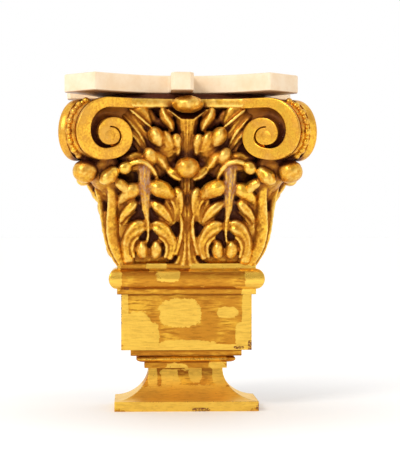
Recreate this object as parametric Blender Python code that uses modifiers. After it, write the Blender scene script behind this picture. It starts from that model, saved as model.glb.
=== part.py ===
"""Gilded capital: half of a square capital with its moulded stem and flared foot.

Metres, +Z up, +X to the right, the front facing -Y.  The origin is the centre of the foot's
underside, and the flat back is parallel to XZ.  The carving is set out in minutes, the 168th
part of its own height: u to the side, h up from its bed, f forward from the flat back.
"""

import math
from typing import NamedTuple

import bmesh
import bpy
from mathutils import Matrix, Vector

# Stem and foot, as half widths across the front and as heights, from the ground up
GAP = 0.0003
PLINTH_HALF = 0.0829
PLINTH_HEIGHT = 0.0097
FOOT_NECK_HALF = 0.0433
FOOT_HEIGHT = 0.0367
FOOT_LIP = 0.0015
COLLAR_HALF = 0.0482
COLLAR_HEIGHT = 0.0073
HALF_ROUND_HALF = 0.0578
HALF_ROUND_HEIGHT = 0.0082
STEP_HALF = 0.0644
STEP_HEIGHT = 0.0072
DADO_HALF = 0.0752
DADO_HEIGHT = 0.0640
LOWER_FILLET_HALF = 0.0799
LOWER_FILLET_HEIGHT = 0.0063
TORUS_HALF = 0.0893
TORUS_HEIGHT = 0.0232
UPPER_FILLET_HALF = 0.0797
UPPER_FILLET_HEIGHT = 0.0058

# Carving
CARVING_HEIGHT = 0.1932
MINUTES_IN_HEIGHT = 168.0
VOXEL = 0.0021
SOFTENING = 0.5
SOFTENING_ROUNDS = 3
CARVING_TRIANGLES = 8000
TRIM_ALLOWANCE = 0.006

# Abacus
ABACUS_HALF = 0.1334
ABACUS_THICKNESS = 0.0209
ABACUS_HORN_CUT = 0.0357
ABACUS_WAIST_HALF = 0.0900
ABACUS_BLOCK_HALF = 0.0128
ABACUS_BLOCK_CHAMFER = 0.0040
ABACUS_SHIFT = -0.0065
ABACUS_ROUNDING = 0.0022
ABACUS_ARC_STEPS = 10

# Places that follow from the sizes
BACK = PLINTH_HALF / 2
MINUTE = CARVING_HEIGHT / MINUTES_IN_HEIGHT
FOOT_TOP = PLINTH_HEIGHT + FOOT_HEIGHT
STEPS_BASE = FOOT_TOP + GAP
STEPS_TOP = STEPS_BASE + COLLAR_HEIGHT + HALF_ROUND_HEIGHT + STEP_HEIGHT
DADO_BASE = STEPS_TOP + GAP
DADO_TOP = DADO_BASE + DADO_HEIGHT
NECK_BASE = DADO_TOP + GAP
NECK_TOP = NECK_BASE + LOWER_FILLET_HEIGHT + TORUS_HEIGHT + UPPER_FILLET_HEIGHT
CARVING_BASE = NECK_TOP + GAP
CARVING_TOP = CARVING_BASE + CARVING_HEIGHT
ABACUS_BASE = CARVING_TOP + GAP


class Knot(NamedTuple):
    """One point on the way of a carved form, in minutes, with its half width and half depth."""

    u: float
    h: float
    f: float
    wide: float
    deep: float


# Bell behind the leaves: height, half width of its rounded square plan
BELL = ((-4, 63), (22, 64), (60, 62), (96, 62), (126, 66), (146, 76), (156, 83), (165, 84), (172, 84))
BELL_POINTS = 40
BELL_SQUARENESS = 3.6

# Midrib of the main leaf: height, place to the side, forward
MIDRIB = ((0, 41, 72), (30, 42.5, 80), (58, 44, 85), (88, 45.5, 91))

# Fingers of the main leaf beside its midrib: reach to the side, height, forward, half width
UPPER_FINGER = ((4, 79, 86, 5.0), (14, 79, 87, 8.0), (24, 71, 84, 7.0), (27, 61, 78, 3.5))
MIDDLE_FINGER = ((4, 62, 84, 3.5), (12, 58, 85, 6.0), (21, 48, 82, 5.0), (25, 38, 76, 3.0))
MIDDLE_BACK_FINGER = ((17, 64, 78, 3.5), (24, 54, 77, 4.0), (28, 40, 74, 3.5), (28, 22, 70, 2.5))
LOWER_FINGER = ((4, 41, 82, 4.0), (14, 39, 84, 8.0), (24, 26, 80, 6.0), (23, 10, 74, 4.5), (16, 0, 70, 3.5))
LOWER_INNER_FINGER = ((5, 30, 78, 2.5), (12, 26, 79, 3.6), (15, 14, 76, 3.2), (13, 2, 71, 2.5))
BULB = ((7, 20, 77, 4.0), (7, 12, 79, 5.8), (8, 3, 74, 4.5))
LEAF_FINGERS = (UPPER_FINGER, MIDDLE_FINGER, MIDDLE_BACK_FINGER, LOWER_FINGER, LOWER_INNER_FINGER, BULB)

# Volute: place of its eye, slant of its face, and edges at each quarter turn from the top outward
EYE_U, EYE_H, EYE_F = 75.4, 122.5, 108.0
FACE_SLANT = math.radians(31)
RIBBON_OUTER = (38.0, 37.3, 22.8, 25.6, 18.2, 12.7, 8.7)
RIBBON_INNER = (27.7, 20.3, 12.6, 12.6, 9.3, 4.0, 2.0)
QUARTER_STEPS = 5
RIBBON_RISE = 5.0
RIBBON_ROOT = 3.0
RIBBON_LEAD = 27.0
EYE_RADIUS = 9.0
CHEEK = 6.0
RIM_SINK = 3.0
BEAD_RADIUS = 4.3
BEAD_COUNT = 7
BEAD_ARC = (math.radians(28), math.radians(158))

TURNS = (0.0, math.pi / 2, -math.pi / 2)
CORNERS = (math.pi / 4, -math.pi / 4)


def clear_scene():
    """Take away whatever the open file holds."""
    for thing in list(bpy.data.objects):
        bpy.data.objects.remove(thing, do_unlink=True)


def collection(name):
    """Return a new collection linked to the scene."""
    made = bpy.data.collections.new(name)
    bpy.context.scene.collection.children.link(made)
    return made


def material(name, colour, roughness, metallic):
    """Return a Principled material of one colour."""
    made = bpy.data.materials.new(name)
    made.use_nodes = True
    shader = made.node_tree.nodes["Principled BSDF"]
    shader.inputs["Base Color"].default_value = (*colour, 1.0)
    shader.inputs["Roughness"].default_value = roughness
    shader.inputs["Metallic"].default_value = metallic
    return made


def new_object(name, mesh, home, finish=None):
    """Link a mesh as a named object."""
    made = bpy.data.objects.new(name, mesh)
    home.objects.link(made)
    if finish is not None:
        mesh.materials.append(finish)
    return made


def box_cutter(name, low, high, home):
    """Return a hidden box between two corners, to cut other pieces with."""
    bm = bmesh.new()
    size = Vector(high) - Vector(low)
    middle = (Vector(high) + Vector(low)) / 2
    bmesh.ops.create_cube(bm, size=1.0, matrix=Matrix.Translation(middle) @ Matrix.Diagonal((*size, 1.0)))
    mesh = bpy.data.meshes.new(name)
    bm.to_mesh(mesh)
    bm.free()
    made = new_object(name, mesh, home)
    made.hide_render = True
    made.display_type = "WIRE"
    return made


def boolean(piece, cutter, operation):
    """Add a boolean modifier with the exact solver."""
    cut = piece.modifiers.new(cutter.name, "BOOLEAN")
    cut.solver = "EXACT"
    cut.operation = operation
    cut.object = cutter


# Stem and foot: profiles turned in four steps, which gives mitred square mouldings


def square_turned(name, profile, back_cutter, home, finish):
    """Turn a profile of (half width, height) into a square moulding, cut flat at the back."""
    corner = math.sqrt(2)
    mesh = bpy.data.meshes.new(name)
    points = [(half * corner, 0.0, height) for half, height in profile]
    mesh.from_pydata(points, [(i, i + 1) for i in range(len(points) - 1)], [])
    piece = new_object(name, mesh, home, finish)
    piece.location = (0.0, BACK, 0.0)
    piece.rotation_euler = (0.0, 0.0, math.pi / 4)
    screw = piece.modifiers.new("square_turning", "SCREW")
    screw.steps = 4
    screw.render_steps = 4
    screw.use_merge_vertices = True
    screw.merge_threshold = 0.0001
    screw.use_smooth_shade = False
    boolean(piece, back_cutter, "DIFFERENCE")
    return piece


def bulge(half_root, half_crown, low, high, steps):
    """Return a half round between two heights, from its top down."""
    middle = (low + high) / 2
    radius = (high - low) / 2
    points = []
    for i in range(steps + 1):
        angle = math.pi / 2 - math.pi * i / steps
        half = half_root + (half_crown - half_root) * math.cos(angle)
        points.append((half, middle + radius * math.sin(angle)))
    return points


def neck_moulding_profile():
    """Fillet, torus and fillet between the carving and the dado."""
    torus_low = NECK_BASE + LOWER_FILLET_HEIGHT
    torus_high = torus_low + TORUS_HEIGHT
    return [
        (0.0, NECK_TOP),
        (UPPER_FILLET_HALF, NECK_TOP),
        (UPPER_FILLET_HALF, torus_high),
        *bulge(UPPER_FILLET_HALF + GAP, TORUS_HALF, torus_low, torus_high, 12),
        (LOWER_FILLET_HALF, torus_low),
        (LOWER_FILLET_HALF, NECK_BASE),
        (0.0, NECK_BASE),
    ]


def dado_profile():
    """Plain square block."""
    return [(0.0, DADO_TOP), (DADO_HALF, DADO_TOP), (DADO_HALF, DADO_BASE), (0.0, DADO_BASE)]


def stepped_profile():
    """Step, half round and collar under the dado."""
    round_low = STEPS_BASE + COLLAR_HEIGHT
    round_high = round_low + HALF_ROUND_HEIGHT
    return [
        (0.0, STEPS_TOP),
        (STEP_HALF, STEPS_TOP),
        (STEP_HALF, round_high),
        *bulge(COLLAR_HALF + GAP, HALF_ROUND_HALF, round_low, round_high, 8),
        (COLLAR_HALF, round_low),
        (COLLAR_HALF, STEPS_BASE),
        (0.0, STEPS_BASE),
    ]


def foot_profile():
    """Cavetto that sweeps out to a thin plinth."""
    steps = 14
    reach = PLINTH_HALF - FOOT_NECK_HALF
    drop = FOOT_HEIGHT - FOOT_LIP
    points = [(0.0, FOOT_TOP)]
    for i in range(steps + 1):
        angle = math.pi / 2 * i / steps
        points.append((FOOT_NECK_HALF + reach * (1 - math.cos(angle)), FOOT_TOP - drop * math.sin(angle)))
    return points + [(PLINTH_HALF, 0.0), (0.0, 0.0)]


# Abacus: an outline with hollowed sides, cut horns and a block in the middle of each side


def abacus_side():
    """Return one side of the abacus from its left horn to its right one, as (across, out)."""
    horn = ABACUS_HALF - ABACUS_HORN_CUT
    block = ABACUS_BLOCK_HALF
    hollow = []
    for i in range(1, ABACUS_ARC_STEPS + 1):
        share = i / ABACUS_ARC_STEPS
        across = horn + (block - horn) * share
        depth = (ABACUS_HALF - ABACUS_WAIST_HALF) * math.sin(math.pi / 2 * share)
        hollow.append((across, ABACUS_HALF - depth))
    right = [
        (block - ABACUS_BLOCK_CHAMFER, ABACUS_HALF),
        (block, ABACUS_HALF - ABACUS_BLOCK_CHAMFER),
        *reversed(hollow),
        (horn, ABACUS_HALF),
    ]
    left = [(-across, out) for across, out in reversed(right)]
    return left + right


def abacus_piece(back_cutter, home, finish):
    """Extrude the outline, round its arrises and cut its back flat."""
    bm = bmesh.new()
    ring = []
    for quarter in range(4):
        turn = Matrix.Rotation(math.pi / 2 * quarter, 3, "Z")
        for across, out in abacus_side():
            ring.append(bm.verts.new(turn @ Vector((across, -out, 0.0))))
    lid = bm.faces.new(ring)
    raised = bmesh.ops.extrude_face_region(bm, geom=[lid])
    for vert in (item for item in raised["geom"] if isinstance(item, bmesh.types.BMVert)):
        vert.co.z = ABACUS_THICKNESS
    bmesh.ops.recalc_face_normals(bm, faces=bm.faces)
    mesh = bpy.data.meshes.new("abacus")
    bm.to_mesh(mesh)
    bm.free()
    piece = new_object("abacus", mesh, home, finish)
    piece.location = (ABACUS_SHIFT, BACK, ABACUS_BASE)
    rounding = piece.modifiers.new("arrises", "BEVEL")
    rounding.width = ABACUS_ROUNDING
    rounding.segments = 2
    rounding.limit_method = "ANGLE"
    rounding.angle_limit = math.radians(60)
    boolean(piece, back_cutter, "DIFFERENCE")
    return piece


# Carving: closed forms set out in minutes, joined into one skin


class Carving:
    """Gathers closed forms and places them round the capital."""

    def __init__(self):
        """Start with no forms."""
        self.bm = bmesh.new()

    def place(self, points, faces, turn, flip):
        """Add one form, given in minutes as (u, h, f), turned about the axis or mirrored."""
        cosine, sine = math.cos(turn), math.sin(turn)
        verts = []
        for u, h, f in points:
            side = -u if flip else u
            x = side * cosine + f * sine
            forward = f * cosine - side * sine
            place = (x * MINUTE, BACK - forward * MINUTE, CARVING_BASE + h * MINUTE)
            verts.append(self.bm.verts.new(place))
        for face in faces:
            order = reversed(face) if flip else face
            self.bm.faces.new([verts[i] for i in order])

    def both(self, form, turn=0.0):
        """Add a form and its mirror image."""
        self.place(*form, turn, False)
        self.place(*form, turn, True)

    def mesh(self, name):
        """Return the forms as one mesh."""
        bmesh.ops.recalc_face_normals(self.bm, faces=self.bm.faces)
        made = bpy.data.meshes.new(name)
        self.bm.to_mesh(made)
        self.bm.free()
        return made


def smooth_between(values, place):
    """Read a list of numbers at a fractional place along it, on a smooth curve."""
    last = len(values) - 1
    start = min(int(place), last - 1)
    part = place - start
    a = values[max(start - 1, 0)]
    b, c = values[start], values[start + 1]
    d = values[min(start + 2, last)]
    square = part**2 * (a - 2.5 * b + 2 * c - d / 2)
    cube = part**3 * (1.5 * (b - c) + (d - a) / 2)
    return b + part * (c - a) / 2 + square + cube


def sweep(knots, sides=10, steps=4, round_ends=1.0):
    """Return an oval tube along the knots, flattened to the face, with round ends."""
    count = (len(knots) - 1) * steps
    rows = []
    for i in range(count + 1):
        rows.append([smooth_between([knot[axis] for knot in knots], i / steps) for axis in range(5)])
    centres = [Vector(row[:3]) for row in rows]
    length = sum((centres[i + 1] - centres[i]).length for i in range(count))
    points, travelled = [], 0.0
    for i, centre in enumerate(centres):
        ahead = centres[min(i + 1, count)] - centres[max(i - 1, 0)]
        side = ahead.cross(Vector((0.0, 0.0, 1.0))).normalized()
        lift = side.cross(ahead).normalized()
        wide, deep = rows[i][3], rows[i][4]
        rounding = min(0.45, round_ends * max(wide, deep) / length)
        near_end = min(travelled, length - travelled) / length
        swell = 1.0
        if near_end < rounding:
            swell = max(0.25, math.sqrt(1 - (1 - near_end / rounding) ** 2))
        for k in range(sides):
            angle = 2 * math.pi * k / sides
            across = side * (wide * swell * math.cos(angle))
            points.append(centre + across + lift * (deep * swell * math.sin(angle)))
        if i < count:
            travelled += (centres[i + 1] - centre).length
    faces = [tuple(range(sides)), tuple(reversed(range(count * sides, (count + 1) * sides)))]
    for i in range(count):
        for k in range(sides):
            nearer, further = i * sides, (i + 1) * sides
            after = (k + 1) % sides
            faces.append((nearer + k, further + k, further + after, nearer + after))
    return points, faces


def ball(u, h, f, wide, high, deep):
    """Return an egg shape with its middle at a point."""
    bm = bmesh.new()
    bmesh.ops.create_uvsphere(bm, u_segments=14, v_segments=8, radius=1.0)
    points = [Vector((u + v.co.x * wide, h + v.co.z * high, f + v.co.y * deep)) for v in bm.verts]
    bm.verts.index_update()
    faces = [tuple(v.index for v in face.verts) for face in bm.faces]
    bm.free()
    return points, faces


def bell():
    """Return the plain body behind the leaves, a rounded square that flares to its lip."""
    points, faces = [], []
    for h, half in BELL:
        for k in range(BELL_POINTS):
            angle = 2 * math.pi * k / BELL_POINTS
            cosine, sine = math.cos(angle), math.sin(angle)
            powers = abs(cosine) ** BELL_SQUARENESS + abs(sine) ** BELL_SQUARENESS
            radius = half / powers ** (1 / BELL_SQUARENESS)
            points.append(Vector((radius * cosine, h, radius * sine)))
    for row in range(len(BELL) - 1):
        for k in range(BELL_POINTS):
            low, high = row * BELL_POINTS, (row + 1) * BELL_POINTS
            after = (k + 1) % BELL_POINTS
            faces.append((low + k, low + after, high + after, high + k))
    faces.append(tuple(range(BELL_POINTS)))
    faces.append(tuple(reversed(range((len(BELL) - 1) * BELL_POINTS, len(BELL) * BELL_POINTS))))
    return points, faces


def midrib_at(h):
    """Return how far aside and how far forward the main leaf's midrib is at a height."""
    heights = [row[0] for row in MIDRIB]
    place = 0.0
    for i in range(len(heights) - 1):
        if h >= heights[i]:
            place = i + min((h - heights[i]) / (heights[i + 1] - heights[i]), 1.0)
    aside = smooth_between([row[1] for row in MIDRIB], place)
    return aside, smooth_between([row[2] for row in MIDRIB], place)


def main_leaf(carving, turn):
    """Add the pair of acanthus leaves that stand on one face."""
    blade = [Knot(42, -3, 62, 25, 8), Knot(43, 30, 66, 27, 9), Knot(44, 60, 69, 27, 9),
             Knot(45, 92, 72, 20, 9)]
    rib = [Knot(41, 0, 71, 2.0, 4), Knot(42.5, 30, 77, 2.8, 5), Knot(44, 58, 82, 5.5, 6),
           Knot(45.5, 90, 88, 6.0, 6)]
    hood = [Knot(23, 78, 80, 3, 7), Knot(33, 94, 86, 4, 10), Knot(46, 101, 88, 4.5, 12),
            Knot(57, 99, 91, 4.5, 10), Knot(67, 91, 93, 5, 7)]
    for form in (blade, rib, hood):
        carving.both(sweep(form), turn)
    for finger in LEAF_FINGERS:
        for side in (1, -1):
            knots = []
            for reach, h, f, wide in finger:
                aside, _ = midrib_at(h)
                knots.append(Knot(aside + side * reach, h, f, wide, wide * 0.85))
            carving.both(sweep(knots), turn)
    edge = [Knot(11, 78, 80, 3.5, 5), Knot(15, 62, 79, 4.5, 5), Knot(17, 36, 74, 3.5, 5),
            Knot(19, 2, 68, 4, 5)]
    carving.both(sweep(edge), turn)


def centre_stem(carving, turn):
    """Add the stalk with its lower boss, the upper stalk and the boss under the abacus."""
    stalk = [Knot(0, -2, 66, 13, 6), Knot(0, 10, 68, 8, 6), Knot(0, 50, 71, 6.5, 6), Knot(0, 88, 78, 7.5, 7)]
    upper = [Knot(0, 98, 76, 8, 8), Knot(0, 122, 80, 8.5, 8), Knot(0, 148, 92, 9, 8)]
    petal = [Knot(6, 146, 96, 4, 5), Knot(14, 152, 97, 4.5, 5), Knot(22, 157, 92, 3.5, 5)]
    tab = [Knot(6, 84, 86, 4, 5), Knot(14, 88, 88, 5, 5), Knot(23, 94, 86, 4, 4)]
    carving.place(*sweep(stalk), turn, False)
    carving.place(*sweep(upper), turn, False)
    carving.place(*ball(0, 94, 91, 13, 11.8, 11), turn, False)
    carving.place(*ball(0, 156, 99, 15.8, 8.8, 15), turn, False)
    carving.both(sweep(petal), turn)
    carving.both(sweep(tab), turn)


def upper_spray(carving, turn):
    """Add the leaflets that fan out between the stalk and the volutes."""
    forms = (
        [Knot(13, 128, 80, 3, 5), Knot(18, 138, 85, 6, 6), Knot(26, 152, 88, 4.5, 6)],
        [Knot(16, 112, 82, 5, 7), Knot(26, 121, 90, 9, 8), Knot(37, 131, 92, 7, 7)],
        [Knot(10, 106, 80, 4, 6), Knot(12, 118, 86, 5.5, 7), Knot(12, 130, 88, 4.5, 6)],
        [Knot(18, 88, 82, 4, 6), Knot(27, 99, 88, 7.5, 7), Knot(41, 111, 91, 6, 7)],
        [Knot(31, 116, 78, 6, 7), Knot(44, 132, 82, 7, 7), Knot(58, 146, 88, 5, 6)],
        [Knot(34, 104, 76, 6, 7), Knot(47, 116, 80, 7, 7), Knot(54, 132, 84, 6, 6)],
    )
    for form in forms:
        carving.both(sweep(form), turn)


def face_point(along, up, proud=0.0):
    """Return a point on the slanting face of the right-hand volute, proud of it or sunk."""
    cosine, sine = math.cos(FACE_SLANT), math.sin(FACE_SLANT)
    return Vector((EYE_U + along * cosine - proud * sine, EYE_H + up, EYE_F + along * sine + proud * cosine))


def spiral(radii, sink=0.0):
    """Return the points of a spiral through its radii at each quarter turn, as (along, up)."""
    points = []
    for i in range((len(radii) - 1) * QUARTER_STEPS + 1):
        angle = math.pi / 2 * i / QUARTER_STEPS
        radius = smooth_between(radii, i / QUARTER_STEPS) - sink
        points.append((radius * math.sin(angle), radius * math.cos(angle)))
    return points


def ribbon():
    """Return the raised band of the volute, from the bell's lip round into the eye."""
    leads = (-RIBBON_LEAD, -RIBBON_LEAD / 2)
    rails = [((along, RIBBON_OUTER[0]), (along, RIBBON_INNER[0])) for along in leads]
    rails += list(zip(spiral(RIBBON_OUTER), spiral(RIBBON_INNER)))
    root = -RIBBON_RISE - RIBBON_ROOT
    points = []
    for outer, inner in rails:
        points += [face_point(*outer), face_point(*inner), face_point(*inner, root), face_point(*outer, root)]
    faces = [(0, 1, 2, 3)]
    for row in range(len(rails) - 1):
        for k in range(4):
            near, far = row * 4, (row + 1) * 4
            faces.append((near + k, far + k, far + (k + 1) % 4, near + (k + 1) % 4))
    end = (len(rails) - 1) * 4
    faces.append((end + 3, end + 2, end + 1, end))
    return points, faces


def volute_outline(sink):
    """Return the outline of the volute's body, from the bell's lip round its outer turn."""
    turn = spiral(RIBBON_OUTER[:5], sink)
    lead = [(-RIBBON_LEAD, RIBBON_OUTER[0] - sink), (-RIBBON_LEAD, RIBBON_OUTER[4])]
    return [lead[0]] + turn[: 3 * QUARTER_STEPS + 1] + [lead[1]]


def slab(outline, front, back):
    """Return a slab between two ways of placing one outline."""
    points = [front(*point) for point in outline] + [back(*point) for point in outline]
    count = len(outline)
    faces = [tuple(range(count)), tuple(reversed(range(count, 2 * count)))]
    for k in range(count):
        after = (k + 1) % count
        faces.append((k, count + k, count + after, after))
    return points, faces


def across_corner(point):
    """Mirror a point in the diagonal plane of the corner."""
    return Vector((point.z, point.y, point.x))


def on_both_faces(carving, form):
    """Add a form of the right-hand volute's front to both faces of both volutes."""
    points, faces = form
    carving.both(form)
    carving.both(([across_corner(point) for point in points], faces))


def volutes(carving):
    """Add the corner volutes: cheeks, the sunk rim between them, ribbons, eyes and beads."""
    cheek = slab(
        volute_outline(0.0),
        lambda along, up: face_point(along, up, -RIBBON_RISE),
        lambda along, up: face_point(along, up, -RIBBON_RISE - CHEEK),
    )
    body = slab(
        volute_outline(RIM_SINK),
        lambda along, up: face_point(along, up, -RIBBON_RISE - 1),
        lambda along, up: across_corner(face_point(along, up, -RIBBON_RISE - 1)),
    )
    for form in (cheek, ribbon()):
        on_both_faces(carving, form)
    carving.both(body)
    eye_front = face_point(0, 0, -RIBBON_RISE / 2)
    on_both_faces(carving, ball(*eye_front, EYE_RADIUS, EYE_RADIUS, EYE_RADIUS / 2))
    for i in range(BEAD_COUNT):
        angle = BEAD_ARC[0] + (BEAD_ARC[1] - BEAD_ARC[0]) * i / (BEAD_COUNT - 1)
        radius = smooth_between(RIBBON_OUTER, angle / (math.pi / 2)) - RIM_SINK + 1
        near = face_point(radius * math.sin(angle), radius * math.cos(angle), -RIBBON_RISE)
        middle = (near + across_corner(near)) / 2
        carving.both(ball(*middle, BEAD_RADIUS, BEAD_RADIUS, BEAD_RADIUS))


def corner_leaf(carving, turn):
    """Add the leaf that climbs the corner and curls out under the volutes."""
    spine = [Knot(0, -3, 82, 13, 10), Knot(0, 22, 92, 17, 12), Knot(0, 48, 98, 17, 12),
             Knot(0, 70, 108, 15, 11), Knot(0, 88, 127, 14, 9), Knot(0, 92, 142, 12, 9),
             Knot(0, 84, 149, 9, 7)]
    side_tip = [Knot(12, 66, 104, 7, 7), Knot(17, 80, 114, 7, 7), Knot(19, 90, 122, 7, 7),
                Knot(20, 82, 129, 5, 5)]
    stem = [Knot(6, 88, 104, 7, 9), Knot(6, 100, 116, 7, 9), Knot(4, 108, 130, 7, 9)]
    core = [Knot(0, 40, 76, 20, 16), Knot(0, 84, 82, 25, 18), Knot(0, 118, 92, 29, 22),
            Knot(0, 150, 100, 30, 22)]
    carving.place(*sweep(core), turn, False)
    carving.place(*sweep(spine), turn, False)
    carving.both(sweep(side_tip), turn)
    carving.both(sweep(stem), turn)


def lip_band(carving, turn):
    """Add the lip of the bell that runs between the volutes."""
    lip = [Knot(-62, 161, 84, 4.4, 6), Knot(0, 161, 80, 4.4, 6), Knot(62, 161, 84, 4.4, 6)]
    carving.place(*sweep(lip), turn, False)


def outermost_skin(mesh):
    """Cut a mesh a little behind the flat back and keep only its largest piece."""
    bm = bmesh.new()
    bm.from_mesh(mesh)
    everything = bm.verts[:] + bm.edges[:] + bm.faces[:]
    behind = (0.0, BACK + TRIM_ALLOWANCE, 0.0)
    bmesh.ops.bisect_plane(bm, geom=everything, plane_co=behind, plane_no=(0.0, 1.0, 0.0), clear_outer=True)
    bmesh.ops.holes_fill(bm, edges=[edge for edge in bm.edges if edge.is_boundary])
    unseen = set(bm.verts)
    islands = []
    while unseen:
        front = [unseen.pop()]
        island = set(front)
        while front:
            for edge in front.pop().link_edges:
                for vert in edge.verts:
                    if vert in unseen:
                        unseen.remove(vert)
                        island.add(vert)
                        front.append(vert)
        islands.append(island)
    main = max(islands, key=len)
    bmesh.ops.delete(bm, geom=[vert for vert in bm.verts if vert not in main], context="VERTS")
    bm.to_mesh(mesh)
    bm.free()


def carved_capital(cutters, home, finish):
    """Fuse the forms into one skin, thin it out and trim its bed, top and back."""
    carving = Carving()
    carving.place(*bell(), 0.0, False)
    for turn in TURNS:
        main_leaf(carving, turn)
        centre_stem(carving, turn)
        upper_spray(carving, turn)
        lip_band(carving, turn)
    volutes(carving)
    for turn in CORNERS:
        corner_leaf(carving, turn)
    rough = new_object("rough_carving", carving.mesh("rough_carving"), home)
    fusing = rough.modifiers.new("fusing", "REMESH")
    fusing.mode = "VOXEL"
    fusing.voxel_size = VOXEL
    graph = bpy.context.evaluated_depsgraph_get()
    skin = bpy.data.meshes.new_from_object(rough.evaluated_get(graph))
    bpy.data.objects.remove(rough, do_unlink=True)
    outermost_skin(skin)
    skin.name = "carved_capital"
    piece = new_object("carved_capital", skin, home, finish)
    softening = piece.modifiers.new("softening", "SMOOTH")
    softening.factor = SOFTENING
    softening.iterations = SOFTENING_ROUNDS
    thinning = piece.modifiers.new("thinning", "DECIMATE")
    thinning.ratio = CARVING_TRIANGLES / sum(len(face.vertices) - 2 for face in skin.polygons)
    for cutter in cutters:
        boolean(piece, cutter, "DIFFERENCE")
    return piece


def build():
    """Make every piece."""
    clear_scene()
    parts = collection("gilded_capital")
    tools = collection("cutters")
    gilding = material("gilding", (0.72, 0.42, 0.09), 0.34, 0.85)
    cream = material("cream_paint", (0.80, 0.64, 0.48), 0.45, 0.0)
    reach = 1.0
    back_cutter = box_cutter("back_cutter", (-reach, BACK, -reach), (reach, BACK + reach, reach), tools)
    bed_cutter = box_cutter("bed_cutter", (-reach, -reach, -reach), (reach, reach, CARVING_BASE), tools)
    top_cutter = box_cutter("top_cutter", (-reach, -reach, CARVING_TOP), (reach, reach, reach), tools)
    square_turned("flared_foot", foot_profile(), back_cutter, parts, gilding)
    square_turned("stepped_moulding", stepped_profile(), back_cutter, parts, gilding)
    square_turned("dado_block", dado_profile(), back_cutter, parts, gilding)
    square_turned("neck_moulding", neck_moulding_profile(), back_cutter, parts, gilding)
    carved_capital((bed_cutter, top_cutter, back_cutter), parts, gilding)
    abacus_piece(back_cutter, parts, cream)


build()
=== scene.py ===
"""Gilded capital: the finished surface of every piece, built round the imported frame.

The carving is set out in minutes, the 168th part of its own height, as (u, h, f): to the side of
the middle, up from its bed, and forward from the flat back.
"""

import logging
import math
from dataclasses import dataclass, field, replace
from enum import Enum

import bmesh
import bpy
import numpy as np
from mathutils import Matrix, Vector, noise
from mathutils.bvhtree import BVHTree
from mathutils.kdtree import KDTree

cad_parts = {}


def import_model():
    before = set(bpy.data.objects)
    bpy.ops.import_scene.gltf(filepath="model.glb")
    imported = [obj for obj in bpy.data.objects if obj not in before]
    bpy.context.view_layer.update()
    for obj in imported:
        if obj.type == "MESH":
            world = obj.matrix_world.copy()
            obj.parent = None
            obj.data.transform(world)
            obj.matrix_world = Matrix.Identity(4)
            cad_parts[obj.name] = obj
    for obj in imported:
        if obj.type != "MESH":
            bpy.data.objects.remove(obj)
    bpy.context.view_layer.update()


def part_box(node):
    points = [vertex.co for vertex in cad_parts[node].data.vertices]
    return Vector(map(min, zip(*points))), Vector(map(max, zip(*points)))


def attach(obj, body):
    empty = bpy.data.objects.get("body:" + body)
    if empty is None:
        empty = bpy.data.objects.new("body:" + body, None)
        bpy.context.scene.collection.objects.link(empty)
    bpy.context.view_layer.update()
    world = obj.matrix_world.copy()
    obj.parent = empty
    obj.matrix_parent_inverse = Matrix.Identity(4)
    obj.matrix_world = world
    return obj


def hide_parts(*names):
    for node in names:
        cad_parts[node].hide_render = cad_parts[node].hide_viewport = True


LOG = logging.getLogger("gilded_capital")
MINUTES_IN_HEIGHT = 168.0
SQUARE_ARRIS_STEPS = 4

Array = np.ndarray
Shape = tuple[Array, list[tuple[int, ...]]]
Colour = tuple[float, float, float]


class Turn(Enum):
    """Which way a set of forms faces, as its angle about the upright axis."""

    FRONT = 0.0
    RIGHT = math.pi / 2
    LEFT = -math.pi / 2
    RIGHT_CORNER = math.pi / 4
    LEFT_CORNER = -math.pi / 4


@dataclass(frozen=True)
class Setting:
    """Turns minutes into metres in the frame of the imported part.

    Args:
        back: Y of the flat back.
        bed: Z of the carving's bed.
        minute: length of one minute.
    """

    back: float
    bed: float
    minute: float

    def place(self, points: Array, turn: Turn, flip: bool = False) -> Array:
        """Turn points in minutes about the axis and put them in the frame.

        Args:
            points: rows of (u, h, f).
            turn: the face or corner that they belong to.
            flip: whether they are mirrored side to side first.

        Returns:
            Rows of (x, y, z) in metres.
        """
        cosine, sine = math.cos(turn.value), math.sin(turn.value)
        u = -points[:, 0] if flip else points[:, 0]
        side = u * cosine + points[:, 2] * sine
        forward = points[:, 2] * cosine - u * sine
        height = self.bed + points[:, 1] * self.minute
        return np.column_stack((side * self.minute, self.back - forward * self.minute, height))

    def minutes(self, points: Array, turn: Turn) -> Array:
        """Read points of the frame as minutes on one face, as rows of (u, h, f)."""
        cosine, sine = math.cos(turn.value), math.sin(turn.value)
        side = points[:, 0] / self.minute
        forward = (self.back - points[:, 1]) / self.minute
        height = (points[:, 2] - self.bed) / self.minute
        return np.column_stack((side * cosine - forward * sine, height, side * sine + forward * cosine))


def smooth_between(values: Array, place: Array) -> Array:
    """Read rows at fractional places along them, on a smooth curve.

    Args:
        values: the rows to read between.
        place: fractional indices.

    Returns:
        One row for each place.
    """
    last = len(values) - 1
    start = np.minimum(place.astype(int), last - 1)
    part = (place - start)[:, None]
    a, b = values[np.maximum(start - 1, 0)], values[start]
    c, d = values[start + 1], values[np.minimum(start + 2, last)]
    curve = b + part * (c - a) / 2
    curve += part**2 * (a - 2.5 * b + 2 * c - d / 2)
    return curve + part**3 * (1.5 * (b - c) + (d - a) / 2)


def grid_faces(rows: int, columns: int) -> list[tuple[int, ...]]:
    """Return the quads of a tube of rows that close on themselves, with capped ends."""
    faces = []
    for row in range(rows - 1):
        near, far = row * columns, (row + 1) * columns
        for k in range(columns):
            after = (k + 1) % columns
            faces.append((near + k, near + after, far + after, far + k))
    faces.append(tuple(range(columns - 1, -1, -1)))
    faces.append(tuple(range((rows - 1) * columns, rows * columns)))
    return faces


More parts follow.
